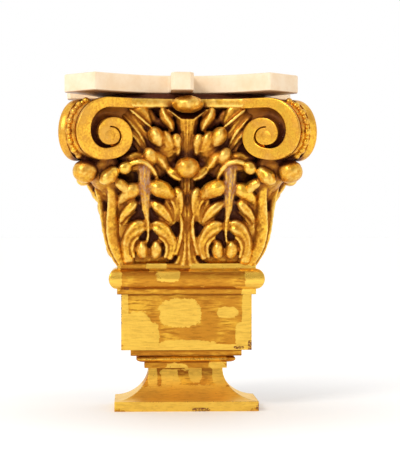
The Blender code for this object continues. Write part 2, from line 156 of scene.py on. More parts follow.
@dataclass(frozen=True)
class Lobe:
    """A carved form drawn out along a path.

    Args:
        path: rows of (u, h, f, half width, half depth) in minutes.
        flutes: grooves cut along its outer side.
        cut: depth of those grooves, as a share of the half depth.
        ridge: how far its middle stands up as a ridge, as a share of the half depth.
        blunt: how round its ends are; 0 leaves them cut square.
        fullness: how much wider the form is cut than its rows say.
        boxy: power that squares the section up where it is under 1.
        longest_end: most of the length that one rounded end may take.
        smallest_end: width left at the very end, as a share of the full width.
    """

    path: tuple[tuple[float, ...], ...]
    flutes: int = 0
    cut: float = 0.22
    ridge: float = 0.0
    blunt: float = 0.8
    fullness: float = 1.12
    boxy: float = 1.0
    longest_end: float = 0.48
    smallest_end: float = 0.12

    def shape(self, sides: int = 28, pitch: float = 1.1) -> Shape:
        """Return the form's points in minutes and its faces.

        Args:
            sides: points round the section.
            pitch: spacing of sections along the path, in minutes.

        Returns:
            The points and faces of one closed tube.
        """
        knots = np.array(self.path, float)
        legs = np.linalg.norm(np.diff(knots[:, :3], axis=0), axis=1)
        count = max(8, int(legs.sum() / pitch))
        travelled = np.concatenate(([0.0], np.cumsum(legs)))
        stations = np.linspace(0.0, travelled[-1], count + 1)
        rows = smooth_between(knots, np.interp(stations, travelled, np.arange(len(knots))))
        centre = rows[:, :3]
        ahead = np.gradient(centre, axis=0)
        side = np.cross(ahead, (0.0, 0.0, 1.0))
        side /= np.linalg.norm(side, axis=1)[:, None] + 1e-9
        lift = np.cross(side, ahead)
        lift /= np.linalg.norm(lift, axis=1)[:, None] + 1e-9
        length = travelled[-1]
        rounding = np.minimum(self.longest_end, self.blunt * np.maximum(rows[:, 3], rows[:, 4]) / length)
        near_end = np.minimum(stations, length - stations) / length
        inside = np.clip(1 - near_end / np.maximum(rounding, 1e-6), 0.0, 1.0)
        swell = np.maximum(np.sqrt(1 - inside**2), self.smallest_end)
        angle = np.linspace(0, 2 * math.pi, sides, endpoint=False)
        across = np.sign(np.cos(angle)) * np.abs(np.cos(angle)) ** self.boxy
        rise = np.sign(np.sin(angle)) * np.abs(np.sin(angle)) ** self.boxy
        outer = np.clip(rise, 0.0, 1.0)
        groove = 0.5 - 0.5 * np.cos(2 * math.pi * self.flutes * (across + 1) / 2) if self.flutes else 0.0
        rise = rise * (1 + self.ridge * outer * (1 - np.abs(across)) ** 1.5)
        rise = rise - outer * self.cut * (1 - groove) if self.flutes else rise
        wide = (rows[:, 3] * swell * self.fullness)[:, None, None]
        deep = (rows[:, 4] * swell)[:, None, None]
        points = centre[:, None, :] + side[:, None, :] * wide * across[None, :, None]
        points = points + lift[:, None, :] * deep * rise[None, :, None]
        return points.reshape(-1, 3), grid_faces(count + 1, sides)


@dataclass(frozen=True)
class Egg:
    """A boss or bead: an egg shape about a point, all in minutes."""

    middle: tuple[float, float, float]
    size: tuple[float, float, float]
    rings: int = 20
    pole: float = 0.04

    def shape(self) -> Shape:
        """Return the egg's points and faces."""
        columns = 2 * self.rings
        down = np.linspace(self.pole, math.pi - self.pole, self.rings)
        around = np.linspace(0, 2 * math.pi, columns, endpoint=False)
        u = np.sin(down)[:, None] * np.cos(around)
        f = np.sin(down)[:, None] * np.sin(around)
        h = np.cos(down)[:, None] * np.ones(columns)
        points = np.stack((u, h, f), axis=-1).reshape(-1, 3) * self.size + self.middle
        return points, grid_faces(self.rings, columns)


def turned_out(name: str, points: Array, faces: list[tuple[int, ...]]) -> bpy.types.Mesh:
    """Return points and faces as a mesh with its faces turned out."""
    mesh = bpy.data.meshes.new(name)
    mesh.from_pydata(points.tolist(), [], faces)
    bm = bmesh.new()
    bm.from_mesh(mesh)
    bmesh.ops.recalc_face_normals(bm, faces=bm.faces)
    bm.to_mesh(mesh)
    bm.free()
    return mesh


class Assembly:
    """Gathers shapes into one mesh in the frame."""

    def __init__(self, setting: Setting) -> None:
        """Start empty, in one setting."""
        self.setting = setting
        self.points: list[Array] = []
        self.faces: list[tuple[int, ...]] = []
        self.count = 0

    def add(self, shape: Shape, turn: Turn, flip: bool = False) -> None:
        """Add one shape given in minutes.

        Args:
            shape: points and faces.
            turn: the face or corner it belongs to.
            flip: whether it is mirrored side to side.
        """
        points, faces = shape
        self.points.append(self.setting.place(points, turn, flip))
        for face in faces:
            order = reversed(face) if flip else face
            self.faces.append(tuple(self.count + i for i in order))
        self.count += len(points)

    def both(self, shape: Shape, turn: Turn) -> None:
        """Add a shape and its mirror image."""
        self.add(shape, turn)
        self.add(shape, turn, True)

    def take(self, other: "Assembly") -> None:
        """Add everything that another assembly holds."""
        for points in other.points:
            self.points.append(points)
        self.faces += [tuple(self.count + i for i in face) for face in other.faces]
        self.count += other.count

    def mesh(self, name: str) -> bpy.types.Mesh:
        """Return everything gathered as one mesh with its faces turned out."""
        return turned_out(name, np.vstack(self.points), self.faces)


def link(name: str, data: bpy.types.ID) -> bpy.types.Object:
    """Link a mesh, camera or light to the scene as a named object."""
    made = bpy.data.objects.new(name, data)
    bpy.context.scene.collection.objects.link(made)
    return made


def shade(piece: bpy.types.Object, sharp: float = 40.0) -> None:
    """Shade a piece smooth, with edges over an angle in degrees left sharp."""
    piece.data.shade_smooth()
    piece.data.set_sharp_from_angle(angle=math.radians(sharp))


def applied(piece: bpy.types.Object) -> bpy.types.Mesh:
    """Return a piece's mesh with its modifiers applied, and take the piece away."""
    graph = bpy.context.evaluated_depsgraph_get()
    mesh = bpy.data.meshes.new_from_object(piece.evaluated_get(graph))
    bpy.data.objects.remove(piece, do_unlink=True)
    return mesh


def cut_flat(mesh: bpy.types.Mesh, back: float) -> None:
    """Cut a mesh flat at the back and close the cut."""
    bm = bmesh.new()
    bm.from_mesh(mesh)
    everything = bm.verts[:] + bm.edges[:] + bm.faces[:]
    away = (0.0, 1.0, 0.0)
    bmesh.ops.bisect_plane(bm, geom=everything, plane_co=(0.0, back, 0.0), plane_no=away, clear_outer=True)
    bmesh.ops.holes_fill(bm, edges=[edge for edge in bm.edges if edge.is_boundary])
    bm.to_mesh(mesh)
    bm.free()


def fused(name: str, rough: bpy.types.Mesh, voxel: float, back: float) -> bpy.types.Mesh:
    """Fuse overlapping forms into one skin, cut flat at the back.

    Args:
        name: name of the mesh returned.
        rough: the overlapping forms.
        voxel: fineness of the skin in metres.
        back: Y of the flat back.

    Returns:
        The skin, softened a little.
    """
    carrier = link(name + "_rough", rough)
    fusing = carrier.modifiers.new("fusing", "REMESH")
    fusing.mode = "VOXEL"
    fusing.voxel_size = voxel
    softening = carrier.modifiers.new("softening", "SMOOTH")
    softening.factor = 0.5
    softening.iterations = 2
    skin = applied(carrier)
    cut_flat(skin, back)
    skin.name = name
    return skin


def uneven(mesh: bpy.types.Mesh, depth: float, pitch: float, back: float, still: float = 0.003) -> None:
    """Move the points of a mesh in and out a little, as hand cutting leaves them.

    Args:
        mesh: the mesh.
        depth: the most that a point moves, in metres.
        pitch: size of the humps, in metres.
        back: Y of the flat back, at which the points stay still.
        still: how far from the back they move less.
    """
    places = [vert.co.copy() for vert in mesh.vertices]
    normals = [vert.normal.copy() for vert in mesh.vertices]
    moved = []
    for place, normal in zip(places, normals):
        wave = noise.noise(place / pitch) + 0.5 * noise.noise(place * (2.7 / pitch))
        ease = min(max((back - place.y) / still, 0.0), 1.0)
        moved.extend(place + normal * (depth * wave * ease))
    mesh.vertices.foreach_set("co", moved)
    mesh.update()


class Wear:
    """Reads how sheltered and how proud each point of a mesh is, and keeps it on the mesh."""

    near_rounds = 10
    far_rounds = 50
    shelter_rounds = 2

    def __init__(self, mesh: bpy.types.Mesh) -> None:
        """Take the mesh's points and edges."""
        self.mesh = mesh
        count = len(mesh.vertices)
        self.points = np.empty(count * 3, np.float32)
        mesh.vertices.foreach_get("co", self.points)
        self.points = self.points.reshape(-1, 3)
        self.normals = np.empty(count * 3, np.float32)
        mesh.vertices.foreach_get("normal", self.normals)
        self.normals = self.normals.reshape(-1, 3)
        edges = np.empty(len(mesh.edges) * 2, np.int32)
        mesh.edges.foreach_get("vertices", edges)
        self.edges = edges.reshape(-1, 2)

    def averaged(self, values: Array, rounds: int) -> Array:
        """Average values with those of neighbouring points, several times over."""
        count = len(self.points)
        degree = np.bincount(self.edges.ravel(), minlength=count).clip(1)
        for _ in range(rounds):
            total = np.zeros_like(values)
            for column in range(values.shape[1]):
                total[:, column] += np.bincount(self.edges[:, 0], values[self.edges[:, 1], column], count)
                total[:, column] += np.bincount(self.edges[:, 1], values[self.edges[:, 0], column], count)
            values = 0.5 * values + 0.5 * total / degree[:, None]
        return values

    def keep(self, name: str, values: Array) -> None:
        """Store one number for each point as a named attribute."""
        made = self.mesh.attributes.new(name, "FLOAT", "POINT")
        made.data.foreach_set("value", values.astype(np.float32))

    def proud(self, near: float, far: float) -> Array:
        """Return how far each point stands above its surroundings, as 0.5 where it is level.

        Args:
            near: height over the closest surroundings that counts as wholly proud, in metres.
            far: the same over the wider surroundings.
        """
        close = self.averaged(self.points.astype(float), self.near_rounds)
        wide = self.averaged(close, self.far_rounds)
        height = ((self.points - close) * self.normals).sum(axis=1) / near
        height += ((self.points - wide) * self.normals).sum(axis=1) / far
        return np.clip(0.5 + 0.25 * height, 0.0, 1.0)

    def sheltered(self, shelter: "Shelter") -> Array:
        """Return how closed in each point is."""
        values = shelter.at(self.points)
        return self.averaged(values[:, None], self.shelter_rounds)[:, 0]


class Shelter:
    """Measures how closed in places on the carving are, by rays cast out into a coarse skin of it."""

    start_above = 0.0004

    def __init__(self, skin: bpy.types.Mesh, reach: float = 0.016, rays: int = 20) -> None:
        """Cast the rays from every point of the skin.

        Args:
            skin: the whole carving as one coarse closed mesh.
            reach: how far away something still shelters a point, in metres.
            rays: number of rays from each point.
        """
        count = len(skin.vertices)
        places = [vert.co.copy() for vert in skin.vertices]
        tree = BVHTree.FromPolygons(places, [tuple(face.vertices) for face in skin.polygons])
        golden = math.pi * (3 - math.sqrt(5))
        spread = []
        for i in range(rays):
            up = math.sqrt((i + 0.5) / rays)
            out = math.sqrt(1 - up * up)
            spread.append((out * math.cos(golden * i), out * math.sin(golden * i), up))
        self.values = np.zeros(count)
        self.lookup = KDTree(count)
        for index, vert in enumerate(skin.vertices):
            self.lookup.insert(places[index], index)
            turn = vert.normal.to_track_quat("Z", "Y").to_matrix()
            start = places[index] + vert.normal * self.start_above
            hits = 0.0
            for ray in spread:
                distance = tree.ray_cast(start, turn @ Vector(ray), reach)[3]
                if distance is not None:
                    hits += 1 - 0.5 * distance / reach
            self.values[index] = hits / rays
        self.lookup.balance()

    def at(self, points: Array) -> Array:
        """Return how closed in each of some points is, from 0 to 1."""
        nearest = [self.lookup.find(point)[1] for point in points.tolist()]
        return self.values[nearest]


@dataclass
class Graph:
    """Short ways of wiring a node tree."""

    tree: bpy.types.NodeTree
    places: int = field(default=0)

    def node(self, kind: str, **settings: object) -> bpy.types.Node:
        """Add a node and set its properties."""
        made = self.tree.nodes.new(kind)
        self.places += 1
        made.location = (-200 * (self.places % 9), -220 * (self.places // 9))
        for name, value in settings.items():
            setattr(made, name, value)
        return made

    def feed(self, socket: bpy.types.NodeSocket, source: object) -> None:
        """Link a socket to another, or give it a plain value."""
        if isinstance(source, bpy.types.NodeSocket):
            self.tree.links.new(source, socket)
        else:
            socket.default_value = source

    def math(self, kind: str, a: object, b: object = 0.0, clamp: bool = False) -> bpy.types.NodeSocket:
        """Return a sum, product or other calculation on two numbers."""
        made = self.node("ShaderNodeMath", operation=kind, use_clamp=clamp)
        self.feed(made.inputs[0], a)
        self.feed(made.inputs[1], b)
        return made.outputs[0]

    def plus(self, a: object, b: object) -> bpy.types.NodeSocket:
        """Return the sum of two numbers."""
        return self.math("ADD", a, b)

    def minus(self, a: object, b: object, clamp: bool = False) -> bpy.types.NodeSocket:
        """Return the difference of two numbers."""
        return self.math("SUBTRACT", a, b, clamp)

    def times(self, a: object, b: object) -> bpy.types.NodeSocket:
        """Return the product of two numbers."""
        return self.math("MULTIPLY", a, b)

    def most(self, a: object, b: object) -> bpy.types.NodeSocket:
        """Return the larger of two numbers."""
        return self.math("MAXIMUM", a, b)

    def split(self, vector: bpy.types.NodeSocket) -> dict[str, bpy.types.NodeSocket]:
        """Return the three numbers of a vector, by the names X, Y and Z."""
        parts = self.node("ShaderNodeSeparateXYZ")
        self.feed(parts.inputs[0], vector)
        return {part.name: part for part in parts.outputs}

    def mix(self, share: object, a: object, b: object) -> bpy.types.NodeSocket:
        """Return a mix of two colours."""
        made = self.node("ShaderNodeMix", data_type="RGBA")
        self.feed(made.inputs[0], share)
        self.feed(made.inputs[6], a)
        self.feed(made.inputs[7], b)
        return made.outputs[2]

    def ramp(
        self, value: object, low: float, high: float, start: float = 0.0, end: float = 1.0
    ) -> bpy.types.NodeSocket:
        """Return a number eased from one range to another."""
        made = self.node("ShaderNodeMapRange", interpolation_type="SMOOTHSTEP")
        for index, number in enumerate((value, low, high, start, end)):
            self.feed(made.inputs[index], number)
        return made.outputs[0]

    def attribute(self, name: str) -> bpy.types.NodeSocket:
        """Return a number kept on the mesh."""
        return self.node("ShaderNodeAttribute", attribute_name=name).outputs["Fac"]

    def position(self, stretch: Colour = (1.0, 1.0, 1.0)) -> bpy.types.NodeSocket:
        """Return the place on the object, stretched along its axes."""
        place = self.node("ShaderNodeTexCoord").outputs["Object"]
        made = self.node("ShaderNodeMapping")
        self.feed(made.inputs["Vector"], place)
        made.inputs["Scale"].default_value = stretch
        return made.outputs[0]

    def noise(
        self, place: bpy.types.NodeSocket, scale: float, detail: float = 3.0, rough: float = 0.5
    ) -> bpy.types.NodeSocket:
        """Return a smooth random number that changes over the surface."""
        made = self.node("ShaderNodeTexNoise")
        self.feed(made.inputs["Vector"], place)
        made.inputs["Scale"].default_value = scale
        made.inputs["Detail"].default_value = detail
        made.inputs["Roughness"].default_value = rough
        return made.outputs["Fac"]

    def bump(
        self, height: bpy.types.NodeSocket, depth: float, strength: float = 1.0, under: object = None
    ) -> bpy.types.NodeSocket:
        """Return a normal dented by a height."""
        made = self.node("ShaderNodeBump")
        made.inputs["Strength"].default_value = strength
        made.inputs["Distance"].default_value = depth
        self.feed(made.inputs["Height"], height)
        if under is not None:
            self.feed(made.inputs["Normal"], under)
        return made.outputs[0]


def opaque(colour: Colour) -> tuple[float, float, float, float]:
    """Return a colour with full alpha."""
    return (*colour, 1.0)


@dataclass(frozen=True)
class Patch:
    """A ragged spot on the front: its middle and its half sizes, in metres of the frame."""

    x: float
    z: float
    half_x: float
    half_z: float


@dataclass(frozen=True)
class Gilding:
    """Gold leaf over a red-brown ground, toned down in the hollows, with painted shade deep in them and a
    painted highlight on the crests.

    Args:
        name: name of the material.
        bright: colour of fresh leaf.
        pale: colour on the crests: burnished leaf, lightened further as a painted highlight.
        newest: colour of the fresh laps on flat faces.
        toned: colour of leaf under the brown toning.
        umber: colour of heavy toning, also laid as painted shade in the hollows and across the torus.
        hollow: near-black painted shade laid deep in the hollows.
        ground: colour where the leaf is rubbed away.
        toning: how much of the open surface is toned, from 0 to 1.
        grain: how far the fine streaks are drawn out sideways; 1 for none.
        metal: how metallic the open leaf is.
        gloss: roughness of the open leaf.
        sheen: how much the bare ground and the toning shine.
        carved: whether the mesh keeps what is sheltered and proud.
        laps: fresh laps of leaf on the front.
        bare: spots on the front where the leaf is lost.
        bands: levels where the leaf is darkened to umber, as rows of (height, half width); across the torus
            these are painted shade.
        behind: Y behind which laps lie at random.
        back: Y of the flat back, which is bare.
        wood: colour of the bare back.
    """

    name: str
    bright: Colour = (0.97, 0.57, 0.06)
    toned: Colour = (0.66, 0.29, 0.028)
    pale: Colour = (1.0, 0.71, 0.17)
    newest: Colour = (1.0, 0.65, 0.10)
    umber: Colour = (0.36, 0.125, 0.012)
    hollow: Colour = (0.07, 0.013, 0.002)
    ground: Colour = (0.20, 0.055, 0.018)
    toning: float = 0.35
    grain: float = 1.0
    metal: float = 0.94
    gloss: float = 0.26
    sheen: float = 0.2
    carved: bool = False
    laps: tuple[Patch, ...] = ()
    bare: tuple[Patch, ...] = ()
    bands: tuple[tuple[float, float], ...] = ()
    behind: float = 0.0
    back: float = 0.0
    wood: Colour = (0.30, 0.155, 0.07)

    def banded(self, graph: Graph, place: bpy.types.NodeSocket) -> object:
        """Return how far a place lies in the umber bands, from 0 to 1."""
        level = graph.split(place)["Z"]
        total: object = 0.0
        for height, half in self.bands:
            away = graph.math("ABSOLUTE", graph.minus(level, height))
            total = graph.most(total, graph.ramp(away, half, half * 0.4))
        return total

    def flat_back(self, graph: Graph, place: bpy.types.NodeSocket) -> bpy.types.NodeSocket:
        """Return 1 on the flat back and 0 elsewhere."""
        return graph.ramp(graph.split(place)["Y"], self.back - 0.0006, self.back - 0.0003)

    def bare_wood(self, graph: Graph) -> bpy.types.NodeSocket:
        """Return the colour of the bare wood of the back, with its upright grain."""
        grain = graph.noise(graph.position((1.0, 1.0, 0.06)), 320.0, 4.0, 0.6)
        darker = tuple(0.55 * part for part in self.wood)
        return graph.mix(graph.ramp(grain, 0.35, 0.65), opaque(self.wood), opaque(darker))

    def spots(self, graph: Graph, place: bpy.types.NodeSocket, patches: tuple[Patch, ...]) -> object:
        """Return how far a place lies on one of some ragged patches, from 0 to 1.

        Args:
            graph: the material's graph.
            place: the place on the object.
            patches: the patches.

        Returns:
            A socket, or 0 where there are no patches.
        """
        ragged = graph.times(graph.noise(place, 170.0, 6.0, 0.72), 2.4)
        sides = graph.split(place)
        total: object = 0.0
        for patch in patches:
            away: object = ragged
            for axis, middle, half in (("X", patch.x, patch.half_x), ("Z", patch.z, patch.half_z)):
                share = graph.math("DIVIDE", graph.minus(sides[axis], middle), half)
                away = graph.plus(away, graph.math("POWER", graph.math("ABSOLUTE", share), 3.0))
            total = graph.most(total, graph.ramp(away, 2.22, 2.12))
        return total

    def fresh(self, graph: Graph, place: bpy.types.NodeSocket) -> bpy.types.NodeSocket:
        """Return where fresh laps of leaf lie: as stated on the front, at random on the sides."""
        cells = graph.node("ShaderNodeTexVoronoi", distance="CHEBYCHEV")
        bent = graph.node("ShaderNodeVectorMath", operation="ADD")
        graph.feed(bent.inputs[0], place)
        wander = graph.node("ShaderNodeVectorMath", operation="SCALE")
        swirl = graph.node("ShaderNodeTexNoise")
        graph.feed(swirl.inputs["Vector"], place)
        swirl.inputs["Scale"].default_value = 220.0
        graph.feed(wander.inputs[0], swirl.outputs["Color"])
        wander.inputs["Scale"].default_value = 0.004
        graph.feed(bent.inputs[1], wander.outputs[0])
        graph.feed(cells.inputs["Vector"], bent.outputs[0])
        cells.inputs["Scale"].default_value = 36.0
        parts = graph.node("ShaderNodeSeparateColor")
        graph.feed(parts.inputs[0], cells.outputs["Color"])
        around = graph.ramp(graph.split(place)["Y"], self.behind + 0.002, self.behind + 0.004)
        chance = graph.times(graph.ramp(parts.outputs[0], 0.62, 0.64), around)
        return graph.most(chance, self.spots(graph, place, self.laps))

    def material(self) -> bpy.types.Material:
        """Return the material with its nodes wired."""
        made = bpy.data.materials.new(self.name)
        made.use_nodes = True
        graph = Graph(made.node_tree)
        shader = made.node_tree.nodes["Principled BSDF"]
        place = graph.position()
        drawn = graph.position((1.0 / self.grain, 1.0, 1.0))
        clouds = graph.noise(place, 38.0, 4.0, 0.6)
        streaks = graph.noise(drawn, 420.0, 3.0, 0.6)
        fine = graph.noise(place, 900.0, 2.0, 0.6)
        tone = graph.plus(graph.times(clouds, 0.75), graph.times(streaks, 0.45))
        tone = graph.ramp(tone, 0.80 - self.toning, 1.05 - self.toning)
        leaf = graph.mix(tone, opaque(self.bright), opaque(self.toned))
        rubbed = graph.attribute("rubbed")
        toning_and_shade: object = 0.0
        if self.carved:
            proud = graph.plus(graph.attribute("proud"), graph.times(clouds, 0.3))
            proud = graph.minus(proud, 0.15)
            sheltered = graph.attribute("sheltered")
            # The crests take burnished leaf lightened further as a painted highlight.
            crest_highlight = graph.ramp(proud, 0.58, 0.78)
            leaf = graph.mix(graph.ramp(proud, 0.60, 0.42), leaf, opaque(self.umber))
            leaf = graph.mix(graph.times(crest_highlight, 0.85), leaf, opaque(self.pale))
            # Low and closed-in places go to umber toning and, deeper in, to near-black painted shade.
            furrow = graph.ramp(proud, 0.38, 0.14)
            toning_and_shade = graph.most(graph.times(furrow, 0.7), graph.ramp(sheltered, 0.04, 0.50))
            leaf = graph.mix(graph.ramp(toning_and_shade, 0.0, 0.40), leaf, opaque(self.umber))
            leaf = graph.mix(graph.ramp(toning_and_shade, 0.22, 0.85), leaf, opaque(self.hollow))
            upright = graph.noise(graph.position((1.0, 1.0, 0.16)), 700.0, 3.0, 0.6)
            bare = graph.times(graph.ramp(upright, 0.38, 0.66), rubbed)
        else:
            fresh = self.fresh(graph, place)
            lined = graph.times(graph.ramp(streaks, 0.50, 0.66), 0.55)
            banded = graph.times(self.banded(graph, place), graph.ramp(streaks, 0.30, 0.55, 0.45, 1.0))
            leaf = graph.mix(graph.most(lined, banded), leaf, opaque(self.umber))
            laid = graph.times(fresh, graph.ramp(streaks, 0.36, 0.66, 0.95, 0.70))
            leaf = graph.mix(laid, leaf, opaque(self.newest))
            dotted = graph.times(graph.ramp(fine, 0.50, 0.60), rubbed)
            lost = graph.times(graph.ramp(fine, 0.40, 0.50), self.spots(graph, place, self.bare))
            bare = graph.most(graph.times(dotted, graph.ramp(clouds, 0.40, 0.55)), lost)
            tone = graph.minus(tone, graph.times(fresh, 0.6), True)
        specks = graph.ramp(graph.noise(place, 520.0, 2.0, 0.7), 0.68, 0.74)
        specks = graph.times(specks, graph.ramp(clouds, 0.38, 0.60))
        bare = graph.most(bare, graph.times(specks, 0.8))
        leaf = graph.mix(bare, leaf, opaque(self.ground))
        flat = self.flat_back(graph, place)
        bare = graph.most(bare, flat)
        leaf = graph.mix(flat, leaf, self.bare_wood(graph))
        graph.feed(shader.inputs["Base Color"], leaf)
        shader.inputs["Specular IOR Level"].default_value = self.sheen
        metal = graph.minus(self.metal, graph.times(bare, 0.7))
        metal = graph.minus(metal, graph.times(toning_and_shade, 0.85), True)
        graph.feed(shader.inputs["Metallic"], metal)
        rough = graph.plus(self.gloss, graph.times(tone, 0.14))
        rough = graph.plus(rough, graph.times(bare, 0.25))
        rough = graph.plus(rough, graph.times(toning_and_shade, 0.25))
        rough = graph.plus(rough, graph.times(fine, 0.10))
        graph.feed(shader.inputs["Roughness"], rough)
        coarse = graph.bump(graph.noise(place, 150.0, 3.0, 0.55), 0.0006, 0.6)
        graph.feed(shader.inputs["Normal"], graph.bump(streaks, 0.00018, 0.7, coarse))
        return made


@dataclass(frozen=True)
class CreamPaint:
    """Cream paint over wood, satin and faintly mottled, with painted shade on faces that look down."""

    name: str = "cream_paint"
    pale: Colour = (0.93, 0.765, 0.555)
    warm: Colour = (0.87, 0.655, 0.42)
    underside_shade: Colour = (0.36, 0.20, 0.10)

    def material(self) -> bpy.types.Material:
        """Return the material with its nodes wired."""
        made = bpy.data.materials.new(self.name)
        made.use_nodes = True
        graph = Graph(made.node_tree)
        shader = made.node_tree.nodes["Principled BSDF"]
        place = graph.position()
        mottle = graph.ramp(graph.noise(place, 45.0, 5.0, 0.65), 0.35, 0.72)
        upward = graph.split(graph.node("ShaderNodeNewGeometry").outputs["Normal"])["Z"]
        # Faces that look down are darkened brown-grey as painted shade.
        under = graph.ramp(upward, -0.25, -0.85)
        paint = graph.mix(mottle, opaque(self.pale), opaque(self.warm))
        graph.feed(shader.inputs["Base Color"], graph.mix(under, paint, opaque(self.underside_shade)))
        rough = graph.plus(0.36, graph.times(mottle, 0.14))
        graph.feed(shader.inputs["Roughness"], rough)
        graph.feed(shader.inputs["Normal"], graph.bump(graph.noise(place, 260.0, 4.0, 0.6), 0.00012, 0.5))
        return made


@dataclass
class SquareMoulding:
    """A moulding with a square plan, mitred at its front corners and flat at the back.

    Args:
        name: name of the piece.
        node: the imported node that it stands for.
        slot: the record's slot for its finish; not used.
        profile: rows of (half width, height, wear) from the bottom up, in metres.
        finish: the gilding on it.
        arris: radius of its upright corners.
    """

    name: str
    node: str
    slot: str
    profile: list[tuple[float, float, float]]
    finish: Gilding
    arris: float = 0.0012

    def ring(self, half: float, back: float) -> list[tuple[float, float, float]]:
        """Return the plan at one level, from the back left corner round the front.

        Returns:
            Rows of (x, y, wear), where the wear is 1 on an upright corner.
        """
        spacing = 0.004
        front = back - half
        side_count, front_count = int(half / spacing), int(2 * half / spacing)
        reach = self.arris
        angles = [math.pi / 2 * i / SQUARE_ARRIS_STEPS for i in range(1, SQUARE_ARRIS_STEPS)]
        run = half - reach
        points = [(-half, back - run * i / side_count, 0.0) for i in range(side_count + 1)]
        for angle in angles:
            inward, down = reach * (1 - math.cos(angle)), reach * (1 - math.sin(angle))
            points.append((-half + inward, front + down, 1.0))
        points += [(-half + reach + 2 * run * i / front_count, front, 0.0) for i in range(front_count + 1)]
        for angle in angles:
            inward, down = reach * (1 - math.sin(angle)), reach * (1 - math.cos(angle))
            points.append((half - inward, front + down, 1.0))
        points += [(half, front + reach + run * i / side_count, 0.0) for i in range(side_count + 1)]
        return points

    def build(self, back: float) -> bpy.types.Object:
        """Make the moulding's mesh and dress it.

        Args:
            back: Y of the flat back.

        Returns:
            The piece.
        """
        widest = max(half for half, _, _ in self.profile)
        plan = self.ring(widest, back)
        rows, worn = [], []
        for half, height, edge in self.profile:
            share = half / widest
            rows.append([(x * share, back + (y - back) * share, height) for x, y, _ in plan])
            worn += [max(edge, corner) for _, _, corner in plan]
        mesh = turned_out(self.name, np.array(rows).reshape(-1, 3), grid_faces(len(rows), len(plan)))
        Wear(mesh).keep("rubbed", np.array(worn))
        piece = link(self.name, mesh)
        shade(piece, 35.0)
        mesh.materials.append(self.finish.material())
        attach(piece, "root")
        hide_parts(self.node)
        LOG.info("%s: %d faces", self.name, len(mesh.polygons))
        return piece


def eased(profile: list[tuple[float, float]], radius: float) -> list[tuple[float, float, float]]:
    """Round the corners of a profile a little.

    Args:
        profile: rows of (half width, height).
        radius: how far from a corner the rounding starts.

    Returns:
        The profile with each corner drawn as a short arc, as rows of (half width, height, wear).
    """
    result = [(*profile[0], 0.0)]
    for before, corner, after in zip(profile, profile[1:], profile[2:]):
        here = np.array(corner)
        back_way, on_way = np.array(before) - here, np.array(after) - here
        back_length, on_length = np.linalg.norm(back_way), np.linalg.norm(on_way)
        bend = back_way @ on_way / max(back_length * on_length, 1e-12)
        reach = min(radius, 0.45 * back_length, 0.45 * on_length)
        if bend < -0.9:
            result.append((*corner, 0.0))
            continue
        start, end = here + back_way / back_length * reach, here + on_way / on_length * reach
        for share in (0.0, 0.25, 0.5, 0.75, 1.0):
            point = start * (1 - share) ** 2 + here * 2 * share * (1 - share) + end * share**2
            result.append((float(point[0]), float(point[1]), float(0.0 < share < 1.0)))
    return result + [(*profile[-1], 0.0)]


def half_round(
    root: float, crown: float, low: float, high: float, steps: int = 16
) -> list[tuple[float, float]]:
    """Return a half round moulding from its bottom up."""
    middle, radius = (low + high) / 2, (high - low) / 2
    points = []
    for i in range(steps + 1):
        angle = -math.pi / 2 + math.pi * i / steps
        points.append((root + (crown - root) * math.cos(angle), middle + radius * math.sin(angle)))
    return points


